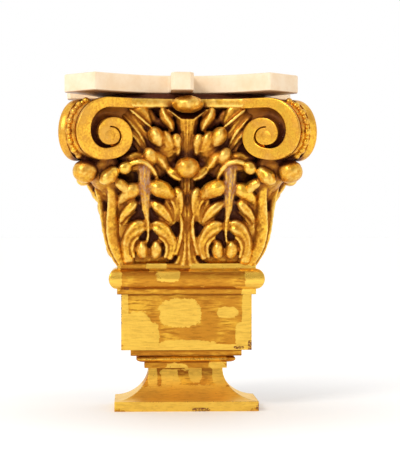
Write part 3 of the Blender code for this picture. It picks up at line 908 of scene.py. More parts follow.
@dataclass
class Stem:
    """The square stem under the carving: foot, steps, block and neck, with sizes in metres."""

    plinth_height: float = 0.0097
    foot_neck_half: float = 0.0433
    foot_lip: float = 0.0015
    collar_half: float = 0.0482
    collar_height: float = 0.0073
    half_round_half: float = 0.0578
    half_round_height: float = 0.0082
    step_half: float = 0.0644
    lower_fillet_half: float = 0.0799
    lower_fillet_height: float = 0.0063
    torus_height: float = 0.0232
    upper_fillet_half: float = 0.0797
    easing: float = 0.0008

    def foot(self) -> SquareMoulding:
        """Return the cavetto foot with its plinth."""
        low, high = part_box("flared_foot")
        half, top = high[0], high[2]
        reach = half - self.foot_neck_half
        drop = top - self.plinth_height - self.foot_lip
        profile = [(half, low[2]), (half, low[2] + self.plinth_height)]
        steps = 22
        for i in range(steps, -1, -1):
            angle = math.pi / 2 * i / steps
            out = self.foot_neck_half + reach * (1 - math.cos(angle))
            profile.append((out, top - drop * math.sin(angle)))
        finish = Gilding(
            "gilded_foot", toning=0.36, grain=4.0, metal=0.76, gloss=0.34, behind=low[1], back=high[1],
            bands=((0.0425, 0.0075),),
            laps=(Patch(0.0, 0.012, 0.088, 0.0150), Patch(0.0115, 0.039, 0.0078, 0.0095),
                  Patch(-0.0385, 0.036, 0.0055, 0.013), Patch(0.0400, 0.036, 0.0055, 0.013)),
            bare=(Patch(0.083, 0.004, 0.0035, 0.003), Patch(0.016, 0.002, 0.010, 0.0022)))
        worn = eased(profile, self.easing)
        return SquareMoulding("foot", "flared_foot", "gilded_foot", worn, finish)

    def steps(self) -> SquareMoulding:
        """Return the collar, half round and step under the block."""
        low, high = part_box("stepped_moulding")
        round_low = low[2] + self.collar_height
        round_high = round_low + self.half_round_height
        profile = [(self.collar_half, low[2]), (self.collar_half, round_low)]
        profile += half_round(self.collar_half, self.half_round_half, round_low, round_high, 12)[1:-1]
        profile += [(self.collar_half, round_high), (self.step_half, round_high), (self.step_half, high[2])]
        finish = Gilding(
            "gilded_steps", toning=0.44, grain=5.0, metal=0.86, gloss=0.27, behind=low[1], back=high[1],
            laps=(Patch(-0.004, round_low + self.half_round_height * 0.6, 0.052, 0.0035),),
            bands=((high[2], 0.0030), (round_high, 0.0022), (round_low, 0.0020)))
        worn = eased(profile, self.easing)
        return SquareMoulding("steps", "stepped_moulding", "gilded_steps", worn, finish)

    def block(self) -> SquareMoulding:
        """Return the plain block."""
        low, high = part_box("dado_block")
        rows = 14
        profile = [(high[0], low[2] + (high[2] - low[2]) * i / rows) for i in range(rows + 1)]
        finish = Gilding(
            "gilded_block", toning=0.42, grain=7.0, metal=0.88, gloss=0.29, behind=low[1], back=high[1],
            bands=((high[2], 0.0022),),
            laps=(Patch(-0.0075, 0.1125, 0.0240, 0.0165), Patch(0.0470, 0.1130, 0.0122, 0.0066),
                  Patch(-0.0580, 0.0920, 0.0170, 0.0225), Patch(-0.0440, 0.0860, 0.0130, 0.0170),
                  Patch(-0.0725, 0.1150, 0.0055, 0.0380), Patch(0.0700, 0.1050, 0.0062, 0.0350),
                  Patch(0.0640, 0.0860, 0.0080, 0.0150), Patch(0.0000, 0.0755, 0.0330, 0.0060),
                  Patch(0.0340, 0.0725, 0.0400, 0.0040), Patch(-0.0300, 0.0720, 0.0500, 0.0030)),
            bare=(Patch(0.0735, 0.0745, 0.0028, 0.0065), Patch(0.0600, 0.0725, 0.0060, 0.0018)))
        worn = eased(profile, self.easing)
        return SquareMoulding("block", "dado_block", "gilded_block", worn, finish)

    def neck(self) -> SquareMoulding:
        """Return the two fillets with the torus between them."""
        low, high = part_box("neck_moulding")
        torus_low = low[2] + self.lower_fillet_height
        torus_high = torus_low + self.torus_height
        profile = [(self.lower_fillet_half, low[2]), (self.lower_fillet_half, torus_low)]
        profile += half_round(self.lower_fillet_half, high[0], torus_low, torus_high)[1:-1]
        profile += [(self.upper_fillet_half, torus_high), (self.upper_fillet_half, high[2])]
        finish = Gilding(
            "gilded_moulding", toning=0.44, grain=6.0, metal=0.92, gloss=0.22, behind=low[1], back=high[1],
            # The first two bands darken the top and the foot of the torus as painted shade about its
            # highlight.
            bands=((torus_high - 0.0035, 0.0060), (torus_low + 0.0010, 0.0030),
                   (high[2], 0.0020), (low[2], 0.0012)),
            laps=(Patch(-0.0830, 0.1530, 0.0090, 0.0160), Patch(0.0790, 0.1530, 0.0130, 0.0160),
                  Patch(-0.0215, 0.1560, 0.0135, 0.0078)),
            bare=(Patch(-0.0690, 0.1410, 0.0030, 0.0020),))
        worn = eased(profile, self.easing)
        return SquareMoulding("neck", "neck_moulding", "gilded_moulding", worn, finish)

    def build(self, setting: Setting) -> None:
        """Make all four pieces."""
        for piece in (self.foot(), self.steps(), self.block(), self.neck()):
            piece.build(setting.back)


@dataclass
class Abacus:
    """The cream slab on top, with sizes in metres."""

    horn_cut: float = 0.0357
    waist_half: float = 0.0900
    block_half: float = 0.0128
    block_chamfer: float = 0.0040
    rounding: float = 0.0022
    arc_steps: int = 24

    def side(self, half: float) -> list[tuple[float, float]]:
        """Return one side of the plan from its left horn to its right one, as (across, out)."""
        horn, block = half - self.horn_cut, self.block_half
        hollow = []
        for i in range(1, self.arc_steps + 1):
            share = i / self.arc_steps
            depth = (half - self.waist_half) * math.sin(math.pi / 2 * share)
            hollow.append((horn + (block - horn) * share, half - depth))
        right = [(block - self.block_chamfer, half), (block, half - self.block_chamfer)]
        right += [*reversed(hollow), (horn, half)]
        return [(-across, out) for across, out in reversed(right)] + right

    def build(self, setting: Setting) -> bpy.types.Object:
        """Make the slab and dress it."""
        low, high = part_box("abacus")
        half = (high[0] - low[0]) / 2
        middle = (high[0] + low[0]) / 2
        bm = bmesh.new()
        ring = []
        for quarter in range(4):
            cosine, sine = math.cos(math.pi / 2 * quarter), math.sin(math.pi / 2 * quarter)
            for across, out in self.side(half):
                x, y = across * cosine + out * sine, across * sine - out * cosine
                ring.append(bm.verts.new((middle + x, setting.back + y, low[2])))
        lid = bm.faces.new(ring)
        raised = bmesh.ops.extrude_face_region(bm, geom=[lid])
        for vert in (item for item in raised["geom"] if isinstance(item, bmesh.types.BMVert)):
            vert.co.z = high[2]
        bmesh.ops.recalc_face_normals(bm, faces=bm.faces)
        mesh = bpy.data.meshes.new("slab")
        bm.to_mesh(mesh)
        bm.free()
        rough = link("slab_rough", mesh)
        rounding = rough.modifiers.new("arrises", "BEVEL")
        rounding.width = self.rounding
        rounding.segments = 5
        rounding.limit_method = "ANGLE"
        rounding.angle_limit = math.radians(60)
        skin = applied(rough)
        cut_flat(skin, setting.back)
        piece = link("abacus_slab", skin)
        shade(piece, 30.0)
        skin.materials.append(CreamPaint().material())
        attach(piece, "root")
        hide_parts("abacus")
        LOG.info("abacus_slab: %d faces", len(skin.polygons))
        return piece


@dataclass
class MainLeaf:
    """The acanthus leaf that stands beside the stalk on each face, twice.

    Args:
        midrib, upper, middle, lower, bulbs, hood, stem_finger, blade: its forms.
        rub_half: half width of the rubbed strip along the midrib, in minutes.
        rub_foot: height at which the rubbing starts.
        rub_fade: height over which it comes in.
        rub_top: how far above the midrib it ends.
        rub_end: height over which it goes out.
    """

    midrib: tuple[Lobe, ...] = (
        Lobe(((40.5, 16, 71, 1.4, 3), (38.5, 30, 76, 1.7, 4.5), (39.5, 45, 78.5, 2.6, 5),
              (41, 54, 81, 3.9, 5.5),
              (41.5, 66, 84.5, 5.0, 6), (42, 78, 88, 5.6, 6.5), (42.5, 91, 90, 6.0, 6),
              (42.5, 97, 88, 5.5, 6)), 3, 0.2,
             blunt=0.5),
    )
    upper: tuple[Lobe, ...] = (
        Lobe(((37.5, 76, 85, 4.5, 5), (30, 75, 89, 7.8, 8), (21.5, 71.5, 87, 7.2, 7),
              (14.5, 66, 81, 3.6, 5)), ridge=0.1),
        Lobe(((47.5, 76.5, 85, 4, 5), (54, 72.5, 88, 7.0, 7.5), (61.5, 67, 86, 5.6, 7),
              (66.5, 60, 80, 3.0, 5), (68, 53, 77, 2, 4))),
        Lobe(((13.5, 68, 81, 2.4, 4), (10.4, 60.5, 80, 2.0, 4), (9.4, 51, 77, 1.7, 4),
              (11, 41, 74, 1.4, 3))),
        Lobe(((18, 65.5, 82, 1.6, 4), (13.2, 58, 80, 1.8, 4), (11.6, 49, 77, 1.6, 4),
              (13.5, 38, 74, 1.2, 3))),
        Lobe(((23, 64, 82, 1.6, 4), (17.4, 55, 79, 1.7, 4), (14.8, 46, 77, 1.5, 4),
              (16, 37, 74, 1.2, 3))),
        Lobe(((60, 61, 81, 1.5, 4), (64.5, 54, 79, 1.7, 4), (66.6, 45, 77, 1.5, 4),
              (66, 35, 74, 1.2, 3))),
    )
    middle: tuple[Lobe, ...] = (
        Lobe(((36, 62, 81, 3.5, 4), (28.5, 56, 84, 5, 6), (21, 48.5, 81.5, 4.4, 5),
              (16, 40.5, 76, 2.2, 4)), 2, 0.14),
        Lobe(((50, 63, 81, 3.5, 4), (55, 57, 84, 4.8, 6), (62, 49, 81.5, 4.0, 5),
              (66.5, 41, 76, 2.0, 4)), 2, 0.14),
        Lobe(((58, 65, 79, 1.6, 3), (64.5, 58.5, 79, 1.8, 4), (68.5, 49.5, 77, 1.5, 3))),
        Lobe(((34, 52.5, 78, 1.4, 3), (26, 46, 78, 1.6, 4), (20, 37, 75, 1.4, 3))),
        Lobe(((49.5, 53, 78, 1.4, 3), (57, 46, 78, 1.6, 4), (63.5, 37, 75, 1.4, 3))),
    )
    lower: tuple[Lobe, ...] = (
        Lobe(((35, 37.5, 76, 5, 5), (27, 36, 79, 7.2, 7), (18.5, 28, 76.5, 5.4, 6),
              (14.5, 17, 74, 3.6, 5), (17.5, 4, 70, 2.8, 4)),
             2, 0.2),
        Lobe(((41.5, 37.5, 76, 5.2, 5), (49, 36, 79, 7.6, 7), (57.5, 28, 76.5, 5.6, 6),
              (60.5, 17, 74, 3.8, 5),
              (58, 4, 70, 2.8, 4)), 2, 0.2),
        Lobe(((28.5, 27, 76, 1.8, 4), (22.5, 22, 76, 2.0, 4), (20, 15, 74, 1.9, 4), (22, 5, 71, 1.5, 3))),
        Lobe(((47.5, 27, 76, 1.8, 4), (52.5, 22, 76, 2.0, 4), (54.5, 15, 74, 1.9, 4),
              (52.5, 5, 71, 1.5, 3))),
        Lobe(((14, 30, 75, 1.5, 4), (10.8, 20, 73.5, 1.7, 4), (12.5, 8, 71, 1.4, 3))),
        Lobe(((62, 31, 75, 1.4, 4), (64.5, 20, 73.5, 1.5, 4), (62.5, 8, 71, 1.3, 3))),
    )
    bulbs: tuple[Lobe, ...] = (
        Lobe(((30.5, 23.5, 72, 3.0, 4), (30.5, 14.5, 74, 5.6, 6), (32, 5.5, 71, 4.2, 4)), ridge=0.15),
        Lobe(((44.5, 23.5, 72, 3.0, 4), (44.5, 14.5, 74, 5.6, 6), (43, 5.5, 71, 4.2, 4)), ridge=0.15),
    )
    hood: tuple[Lobe, ...] = (
        Lobe(((58, 97, 92, 3, 5), (50, 100, 93, 3.2, 7), (41.5, 99, 92, 3.2, 7), (34.5, 93, 89, 3.0, 7),
              (30, 84, 84, 2.4, 5))),
        Lobe(((57, 93, 88, 2.6, 5), (48, 94.5, 88, 3.4, 6), (40, 92, 86, 3.4, 6),
              (34.5, 86, 83, 2.8, 5))),
        Lobe(((67, 103, 86, 3, 6), (54, 105.5, 86, 4.4, 8), (42, 103.5, 84, 4.4, 8),
              (31.5, 95, 81, 3.6, 8), (26, 85, 78, 3, 5))),
        Lobe(((56, 97.5, 93, 4, 5), (62, 94, 95, 6, 6), (68, 92, 93, 4, 5))),
    )
    stem_finger: tuple[Lobe, ...] = (
        Lobe(((11, 75.5, 79, 3, 4), (8.5, 69, 82, 4.2, 5), (6.5, 60.5, 80, 3, 4), (6.5, 50, 76, 1.8, 4))),
        Lobe(((9, 55, 75, 1.8, 4), (5.5, 40.5, 75, 2.2, 5), (7, 24, 73, 2.4, 5), (12, 8, 71, 2.6, 4))),
    )
    blade: tuple[Lobe, ...] = (
        Lobe(((40, -3, 55, 29, 8), (41, 12, 60, 31, 9), (41, 30, 63, 32, 10), (43, 46, 66.5, 31, 10),
              (44, 62, 70, 29, 10),
              (45, 74, 72, 25, 9), (45, 82, 70, 18, 8)), blunt=0.35, boxy=0.7),
    )
    rub_half: float = 5.6
    rub_foot: float = 44.0
    rub_fade: float = 30.0
    rub_top: float = 2.0
    rub_end: float = 4.0

    def rubbed(self, places: Array) -> Array:
        """Return how far the leaf is rubbed away, along the midribs.

        Args:
            places: rows of (u, h, f) on the leaf's own face.

        Returns:
            One number from 0 to 1 for each place.
        """
        path = np.array(self.midrib[0].path)
        rib = np.interp(places[:, 1], path[:, 1], path[:, 0])
        beside = np.exp(-(((np.abs(places[:, 0]) - rib) / self.rub_half) ** 4))
        foot = np.clip((places[:, 1] - self.rub_foot) / self.rub_fade, 0.0, 1.0)
        return beside * foot * np.clip((path[-1, 1] + self.rub_top - places[:, 1]) / self.rub_end, 0.0, 1.0)

    def add_to(self, assembly: Assembly, turn: Turn) -> None:
        """Add the pair of leaves on one face."""
        fingers = self.midrib + self.upper + self.middle + self.lower
        for lobe in fingers + self.bulbs + self.hood + self.stem_finger + self.blade:
            assembly.both(lobe.shape(), turn)


@dataclass
class CentreStem:
    """The fluted stalk, the round boss above it, the upper stalk and the boss under the abacus."""

    stalk: Lobe = Lobe(((0, -3, 64, 16, 6), (0, 5, 66, 10.5, 6), (0, 18, 69, 7.4, 6.5),
                        (0, 50, 71, 6.8, 7), (0, 86, 77, 7.6, 7)),
                       4, 0.32, blunt=0.1)
    upper: Lobe = Lobe(((0, 98, 75, 9, 8), (0, 110, 77, 8.4, 8), (0, 130, 81, 8.8, 8),
                        (0, 146, 88, 11, 8)), 7, 0.24, blunt=0.1)
    lower_boss: Egg = Egg((0, 94.5, 88), (12.7, 10.8, 12))
    upper_boss: Egg = Egg((0, 156.5, 97), (15.6, 8.6, 16))
    tabs: tuple[Lobe, ...] = (
        Lobe(((3, 140, 88, 1.3, 4), (11, 145.5, 90, 1.6, 4), (20, 152, 90, 1.4, 4)), ridge=0.2),
        Lobe(((20.5, 95, 84, 3, 4), (14, 89, 87, 4.6, 5), (5, 83.5, 85, 3, 4)), 2),
    )

    def add_to(self, assembly: Assembly, turn: Turn) -> None:
        """Add them to one face."""
        assembly.add(self.stalk.shape(56), turn)
        assembly.add(self.upper.shape(56), turn)
        assembly.add(self.lower_boss.shape(), turn)
        assembly.add(self.upper_boss.shape(), turn)
        for lobe in self.tabs:
            assembly.both(lobe.shape(), turn)


@dataclass
class UpperSpray:
    """The leaflets that fan out between the upper stalk and the volutes."""

    top: tuple[Lobe, ...] = (
        Lobe(((25, 153, 87, 3, 4), (22, 145, 90, 5, 5.5), (17.5, 138, 89, 4.6, 5),
              (14.5, 130.5, 85, 1.8, 3)), ridge=0.35),
        Lobe(((29, 143, 82, 1.8, 4), (25.5, 138.5, 84, 2.6, 4), (19.5, 134, 84, 2, 4))),
        Lobe(((38, 153, 82, 2.8, 5), (33, 144.5, 82, 3.2, 5), (28, 136, 81, 2.4, 5))),
    )
    middle: tuple[Lobe, ...] = (
        Lobe(((34, 133, 88, 4.8, 5), (31, 125.5, 92, 7.0, 8), (26.5, 116, 88, 4.6, 6)), ridge=0.1),
        Lobe(((24, 130, 87, 4, 5), (20.5, 122.5, 90, 5.6, 6), (16, 112, 86, 4.4, 5)), 2, 0.14),
        Lobe(((11.5, 128, 87, 3.2, 4), (10.5, 121.5, 89, 4.4, 5), (9, 114, 86, 3.2, 4),
              (9, 106, 83, 2, 4))),
        Lobe(((33, 122, 80, 8, 8), (22, 116, 83, 11, 9), (10, 112, 81, 9, 8)), 4, 0.16),
        Lobe(((24, 112, 80, 5, 7), (12, 101, 79, 6, 7)), 2, 0.2),
    )
    lower: tuple[Lobe, ...] = (
        Lobe(((39, 113, 88, 4, 5), (36.5, 106.5, 92, 6, 7), (32, 99, 88, 3.8, 5))),
        Lobe(((35, 112.5, 84, 3.6, 5), (28, 104, 87, 6, 7), (20.5, 94, 84, 4.4, 5)), ridge=0.3),
        Lobe(((20, 105.5, 78, 3, 5), (15, 99, 79, 3.4, 5), (12.5, 91, 79, 3, 5))),
        Lobe(((38, 109, 80, 7.5, 8), (29, 102, 81, 9.5, 8), (18, 91, 79, 7.5, 8)), 3, 0.16),
    )
    channel: tuple[Lobe, ...] = (
        Lobe(((33, 101, 70, 5, 7), (39, 113, 78, 8, 9), (46, 126, 82, 12, 9.5), (56, 138, 84, 13, 9),
              (66, 149, 84, 12, 8)), 5, 0.3),
        Lobe(((58, 152.5, 90, 1.3, 4), (47, 143.5, 91, 1.7, 5), (36, 134.5, 88, 1.4, 4))),
        Lobe(((53, 158, 84, 8, 6), (47, 150, 87, 8, 6), (40, 141.5, 86, 5, 5),
              (36, 136, 83, 2, 4)), 2, 0.16),
        Lobe(((52, 117, 83, 1.3, 4), (46.5, 110, 82, 1.6, 5), (42, 103, 79, 1.3, 4))),
    )

    def add_to(self, assembly: Assembly, turn: Turn) -> None:
        """Add the leaflets on both sides of one face."""
        for lobe in self.top + self.middle + self.lower + self.channel:
            assembly.both(lobe.shape(), turn)


@dataclass
class CornerLeaf:
    """The leaf that climbs a corner and curls out under the volutes."""

    spine: Lobe = Lobe(
        ((0, -3, 74, 9, 9), (0, 10, 83, 10, 10), (0, 22, 89, 11, 11), (0, 46, 94, 12, 11),
        (0, 64, 100, 13, 11),
         (0, 78, 111, 14, 10), (0, 89, 127, 11, 8), (0, 92, 136, 8, 7)), 0, blunt=0.5)
    tip: Egg = Egg((0, 90.5, 141.5), (12.2, 11.5, 12.8))
    brow: Lobe = Lobe(((0, 98, 106, 14, 11), (0, 99, 122, 15, 12), (0, 95, 136, 13, 11)), 2, 0.08)
    band: Lobe = Lobe(((0, -2, 82, 4.6, 9), (0, 7.5, 92, 4.8, 9), (0, 18, 100, 5, 9),
                       (0, 31, 104, 5, 9), (0, 44, 106.5, 4.6, 8),
                       (0, 53, 107, 2.4, 6)), 2, 0.12, blunt=0.3, boxy=0.8)
    fold: Lobe = Lobe(((1.8, -4, 81.5, 3.2, 8.2), (2.0, 8, 93, 3.3, 8.4), (2.3, 20, 101.4, 3.3, 8.5),
                       (3.0, 33, 105.6, 3.2, 8.5), (4.4, 45, 108.1, 3.2, 7.4),
                       (6.1, 55, 109.8, 3.5, 6.4), (7.6, 65, 111, 4.0, 6),
                       (9.2, 75, 112.5, 4.4, 6), (10.5, 83, 113, 3.2, 5)), ridge=0.2)
    second: Lobe = Lobe(((20.5, 93, 117.5, 4.5, 6), (16.5, 84.5, 127.5, 7, 8),
                         (15, 77, 129.5, 4.6, 5)), 2, 0.1)
    small_tip: Lobe = Lobe(((23, 71, 104, 3, 5), (21, 77, 111, 4.0, 6), (18, 82, 118, 3.4, 5)))
    stem: Lobe = Lobe(((8, 86, 110, 7, 9), (9, 100, 120, 8, 9), (8, 110, 132, 7, 8)), 2)
    core: Lobe = Lobe(((0, 40, 74, 20, 15), (0, 84, 80, 24, 17), (0, 118, 86, 24, 18),
                       (0, 150, 92, 25, 20)))

    def add_to(self, assembly: Assembly, turn: Turn) -> None:
        """Add the leaf to one corner."""
        assembly.add(self.spine.shape(40), turn)
        assembly.add(self.core.shape(), turn)
        assembly.add(self.tip.shape(), turn)
        assembly.add(self.brow.shape(), turn)
        assembly.add(self.band.shape(), turn)
        for lobe in (self.fold, self.second, self.small_tip, self.stem):
            assembly.both(lobe.shape(), turn)


@dataclass
class Bell:
    """The plain body behind the leaves, a rounded square that flares to its lip."""

    levels: tuple[tuple[float, float], ...] = (
        (0, 63), (22, 64), (60, 62), (96, 62), (126, 66), (146, 76), (156, 83), (165, 84), (168, 84)
    )
    squareness: float = 3.6
    columns: int = 96
    lip_top: float = 162.0
    lip_foot: float = 152.0
    shade_behind: float = 0.55
    shade_over: float = 0.95
    shade_fade: float = 4.0

    def shade(self, height: Array) -> Array:
        """Return how much painted shade the bell gets at heights: behind the leaves and over its lip, but
        not on it.
        """
        behind = self.shade_behind * np.clip((self.lip_foot - height) / self.shade_fade, 0.0, 1.0)
        return np.maximum(behind, self.shade_over * np.clip(height - self.lip_top, 0.0, 1.0))

    def shape(self) -> Shape:
        """Return the bell's points and faces."""
        angle = np.linspace(0, 2 * math.pi, self.columns, endpoint=False)
        cosine, sine = np.cos(angle), np.sin(angle)
        powers = np.abs(cosine) ** self.squareness + np.abs(sine) ** self.squareness
        reach = powers ** (-1 / self.squareness)
        rows = []
        for h, half in self.levels:
            size = half * reach
            rows.append(np.column_stack((size * cosine, np.full(self.columns, h), size * sine)))
        return np.vstack(rows), grid_faces(len(rows), self.columns)


@dataclass
class Volutes:
    """The scrolls of one corner, with sizes in minutes.

    The edges of the scroll are given at each quarter turn from the top outward.
    """

    eye: tuple[float, float, float] = (75.7, 124.6, 108.0)
    slant: float = math.radians(31)
    outer: tuple[float, ...] = (38.0, 35.6, 22.8, 26.0, 17.9, 12.4, 8.5, 11.6, 8.5)
    inner: tuple[float, ...] = (28.1, 20.3, 11.3, 13.2, 9.4)
    heart: float = 2.0
    quarter_steps: int = 22
    lead: float = 27.0
    floor: float = 9.0
    scoop: float = 3.5
    arris: float = 1.1
    rim_sink: float = 2.4
    bead: float = 3.5
    bead_count: int = 10
    bead_arc: tuple[float, float] = (math.radians(18), math.radians(165))
    reel_share: float = 0.62
    disc: tuple[float, float, float] = (7.6, 7.6, 2.3)
    disc_sink: float = 1.6
    lead_steps: int = 14
    arris_steps: int = 5
    scoop_steps: int = 9
    rim: tuple[tuple[float, float], ...] = (
        (0, 0.4), (0.12, 0.0), (0.16, 0.6), (0.2, 2.6), (0.25, 2.9), (0.3, 2.4), (0.5, 2.2)
    )

    def face_point(self, along: Array, up: Array, proud: Array) -> Array:
        """Return points on the slanting face of the right-hand scroll."""
        cosine, sine = math.cos(self.slant), math.sin(self.slant)
        u = self.eye[0] + along * cosine - proud * sine
        f = self.eye[2] + along * sine + proud * cosine
        return np.column_stack((u, self.eye[1] + up, f))

    def radius(self, radii: tuple[float, ...], angle: Array) -> Array:
        """Read an edge's radius at angles from the top outward."""
        return smooth_between(np.array(radii)[:, None], angle / (math.pi / 2))[:, 0]

    def ribbon(self) -> Shape:
        """Return the raised band, from the bell's lip round into the eye."""
        turns = len(self.outer) - 1
        angle = np.linspace(0, turns * math.pi / 2, turns * self.quarter_steps + 1)
        grooved = angle <= (len(self.inner) - 1) * math.pi / 2
        high = self.radius(self.outer, angle)
        low = np.where(grooved, self.radius(self.inner, np.where(grooved, angle, 0)), self.heart)
        lead = np.linspace(-self.lead, 0, self.lead_steps)[:-1]
        outer = np.vstack((np.column_stack((lead, np.full(len(lead), self.outer[0]))),
                           np.column_stack((high * np.sin(angle), high * np.cos(angle)))))
        inner = np.vstack((np.column_stack((lead, np.full(len(lead), self.inner[0]))),
                           np.column_stack((low * np.sin(angle), low * np.cos(angle)))))
        width = np.linalg.norm(outer - inner, axis=1)
        arris = np.minimum(self.arris, width * 0.45)
        section = []
        for k in range(self.arris_steps + 1):
            turn = math.pi / 2 * k / self.arris_steps
            section.append((1 - math.cos(turn), -(1 - math.sin(turn))))
        columns = [(np.zeros_like(width), np.full_like(width, -self.floor))]
        columns += [(arris * across, arris * drop) for across, drop in section]
        columns += [(width - arris * across, arris * drop) for across, drop in reversed(section)]
        columns.append((width, np.full_like(width, -self.floor)))
        direction = (inner - outer) / width[:, None]
        rows = []
        for across, proud in columns:
            rows.append(self.face_point(*(outer + direction * across[:, None]).T, proud))
        points = np.stack(rows, axis=1).reshape(-1, 3)
        return points, grid_faces(len(width), len(columns))

    def outline(self, sink: float) -> Array:
        """Return the outline of the scroll's body, as rows of (along, up)."""
        angle = np.linspace(0, 3 * math.pi / 2, 3 * self.quarter_steps + 1)
        radius = self.radius(self.outer, angle) - sink
        turn = np.column_stack((radius * np.sin(angle), radius * np.cos(angle)))
        return np.vstack(([-self.lead, self.outer[0] - sink], turn, [-self.lead, self.outer[4]]))

    def body(self) -> Shape:
        """Return the solid between the two faces of the corner, with the rim's grooves."""
        rows = []
        for share, sink in self.rim:
            outline = self.outline(sink)
            near = self.face_point(*outline.T, np.full(len(outline), -self.floor if share == 0 else -1.0))
            rows.append(near + (near[:, ::-1] - near) * share)
        rows += [row[:, ::-1] for row in reversed(rows[:-1])]
        return np.vstack(rows), grid_faces(len(rows), len(rows[0]))

    def groove(self) -> Shape:
        """Return the scooped floor between the turns of the ribbon, as a closed thin shell."""
        turns = len(self.inner) - 1
        angle = np.linspace(0, turns * math.pi / 2, turns * self.quarter_steps + 1)
        high = self.radius(self.inner, angle)
        low = self.radius(self.outer, angle + 2 * math.pi)
        direction = np.column_stack((np.sin(angle), np.cos(angle)))
        near, far = direction * high[:, None], direction * low[:, None]
        lead = np.linspace(-self.lead, 0, self.lead_steps)[:-1]
        rise = self.outer[turns] * np.sqrt(np.clip(1 - (lead / (self.outer[turns - 1] + 1)) ** 2, 0, 1))
        near = np.vstack((np.column_stack((lead, np.full(len(lead), self.inner[0]))), near))
        far = np.vstack((np.column_stack((lead, rise)), far))
        rows = []
        for share in np.linspace(0, 1, self.scoop_steps):
            depth = self.floor - self.scoop * (1 - math.sin(math.pi * share))
            rows.append(self.face_point(*(near + (far - near) * share).T, np.full(len(near), -depth)))
        for share in (1.0, 0.0):
            under = np.full(len(near), -self.floor - 1)
            rows.append(self.face_point(*(near + (far - near) * share).T, under))
        return np.stack(rows, axis=1).reshape(-1, 3), grid_faces(len(near), len(rows))

    def eye_disc(self) -> Shape:
        """Return the eye, a low cushion in the middle of the scroll."""
        middle = self.face_point(np.zeros(1), np.zeros(1), np.full(1, -self.disc_sink))[0]
        points, faces = Egg((0, 0, 0), self.disc).shape()
        cosine, sine = math.cos(self.slant), math.sin(self.slant)
        u, h, f = points.T
        return np.column_stack((u * cosine - f * sine, h, u * sine + f * cosine)) + middle, faces

    def beads(self) -> list[Shape]:
        """Return the beads and reels on the rim."""
        shapes = []
        steps = 2 * self.bead_count - 1
        for i in range(steps):
            angle = np.array([self.bead_arc[0] + (self.bead_arc[1] - self.bead_arc[0]) * i / (steps - 1)])
            radius = self.radius(self.outer, angle) - self.rim_sink + 1.0
            near = self.face_point(radius * np.sin(angle), radius * np.cos(angle), np.full(1, -1.0))
            middle = tuple(((near + near[:, ::-1]) / 2)[0])
            size = self.bead if i % 2 == 0 else self.bead * self.reel_share
            shapes.append(Egg(middle, (size, size, size), 12).shape())
        return shapes

    def add_to(self, assembly: Assembly, flip: bool) -> None:
        """Add the scrolls of one corner, the right one or its mirror image."""
        assembly.add(self.body(), Turn.FRONT, flip)
        for points, faces in (self.ribbon(), self.groove(), self.eye_disc()):
            assembly.add((points, faces), Turn.FRONT, flip)
            assembly.add((points[:, ::-1], faces), Turn.FRONT, flip)
        for shape in self.beads():
            assembly.add(shape, Turn.FRONT, flip)


@dataclass
class Batch:
    """What one piece of the carving is made from.

    Args:
        name: name of the piece.
        forms: its overlapping forms.
        voxel: fineness of its skin in metres, or 0 where the forms aren't fused.
        turn: the face or corner it belongs to.
    """

    name: str
    forms: Assembly
    voxel: float
    turn: Turn


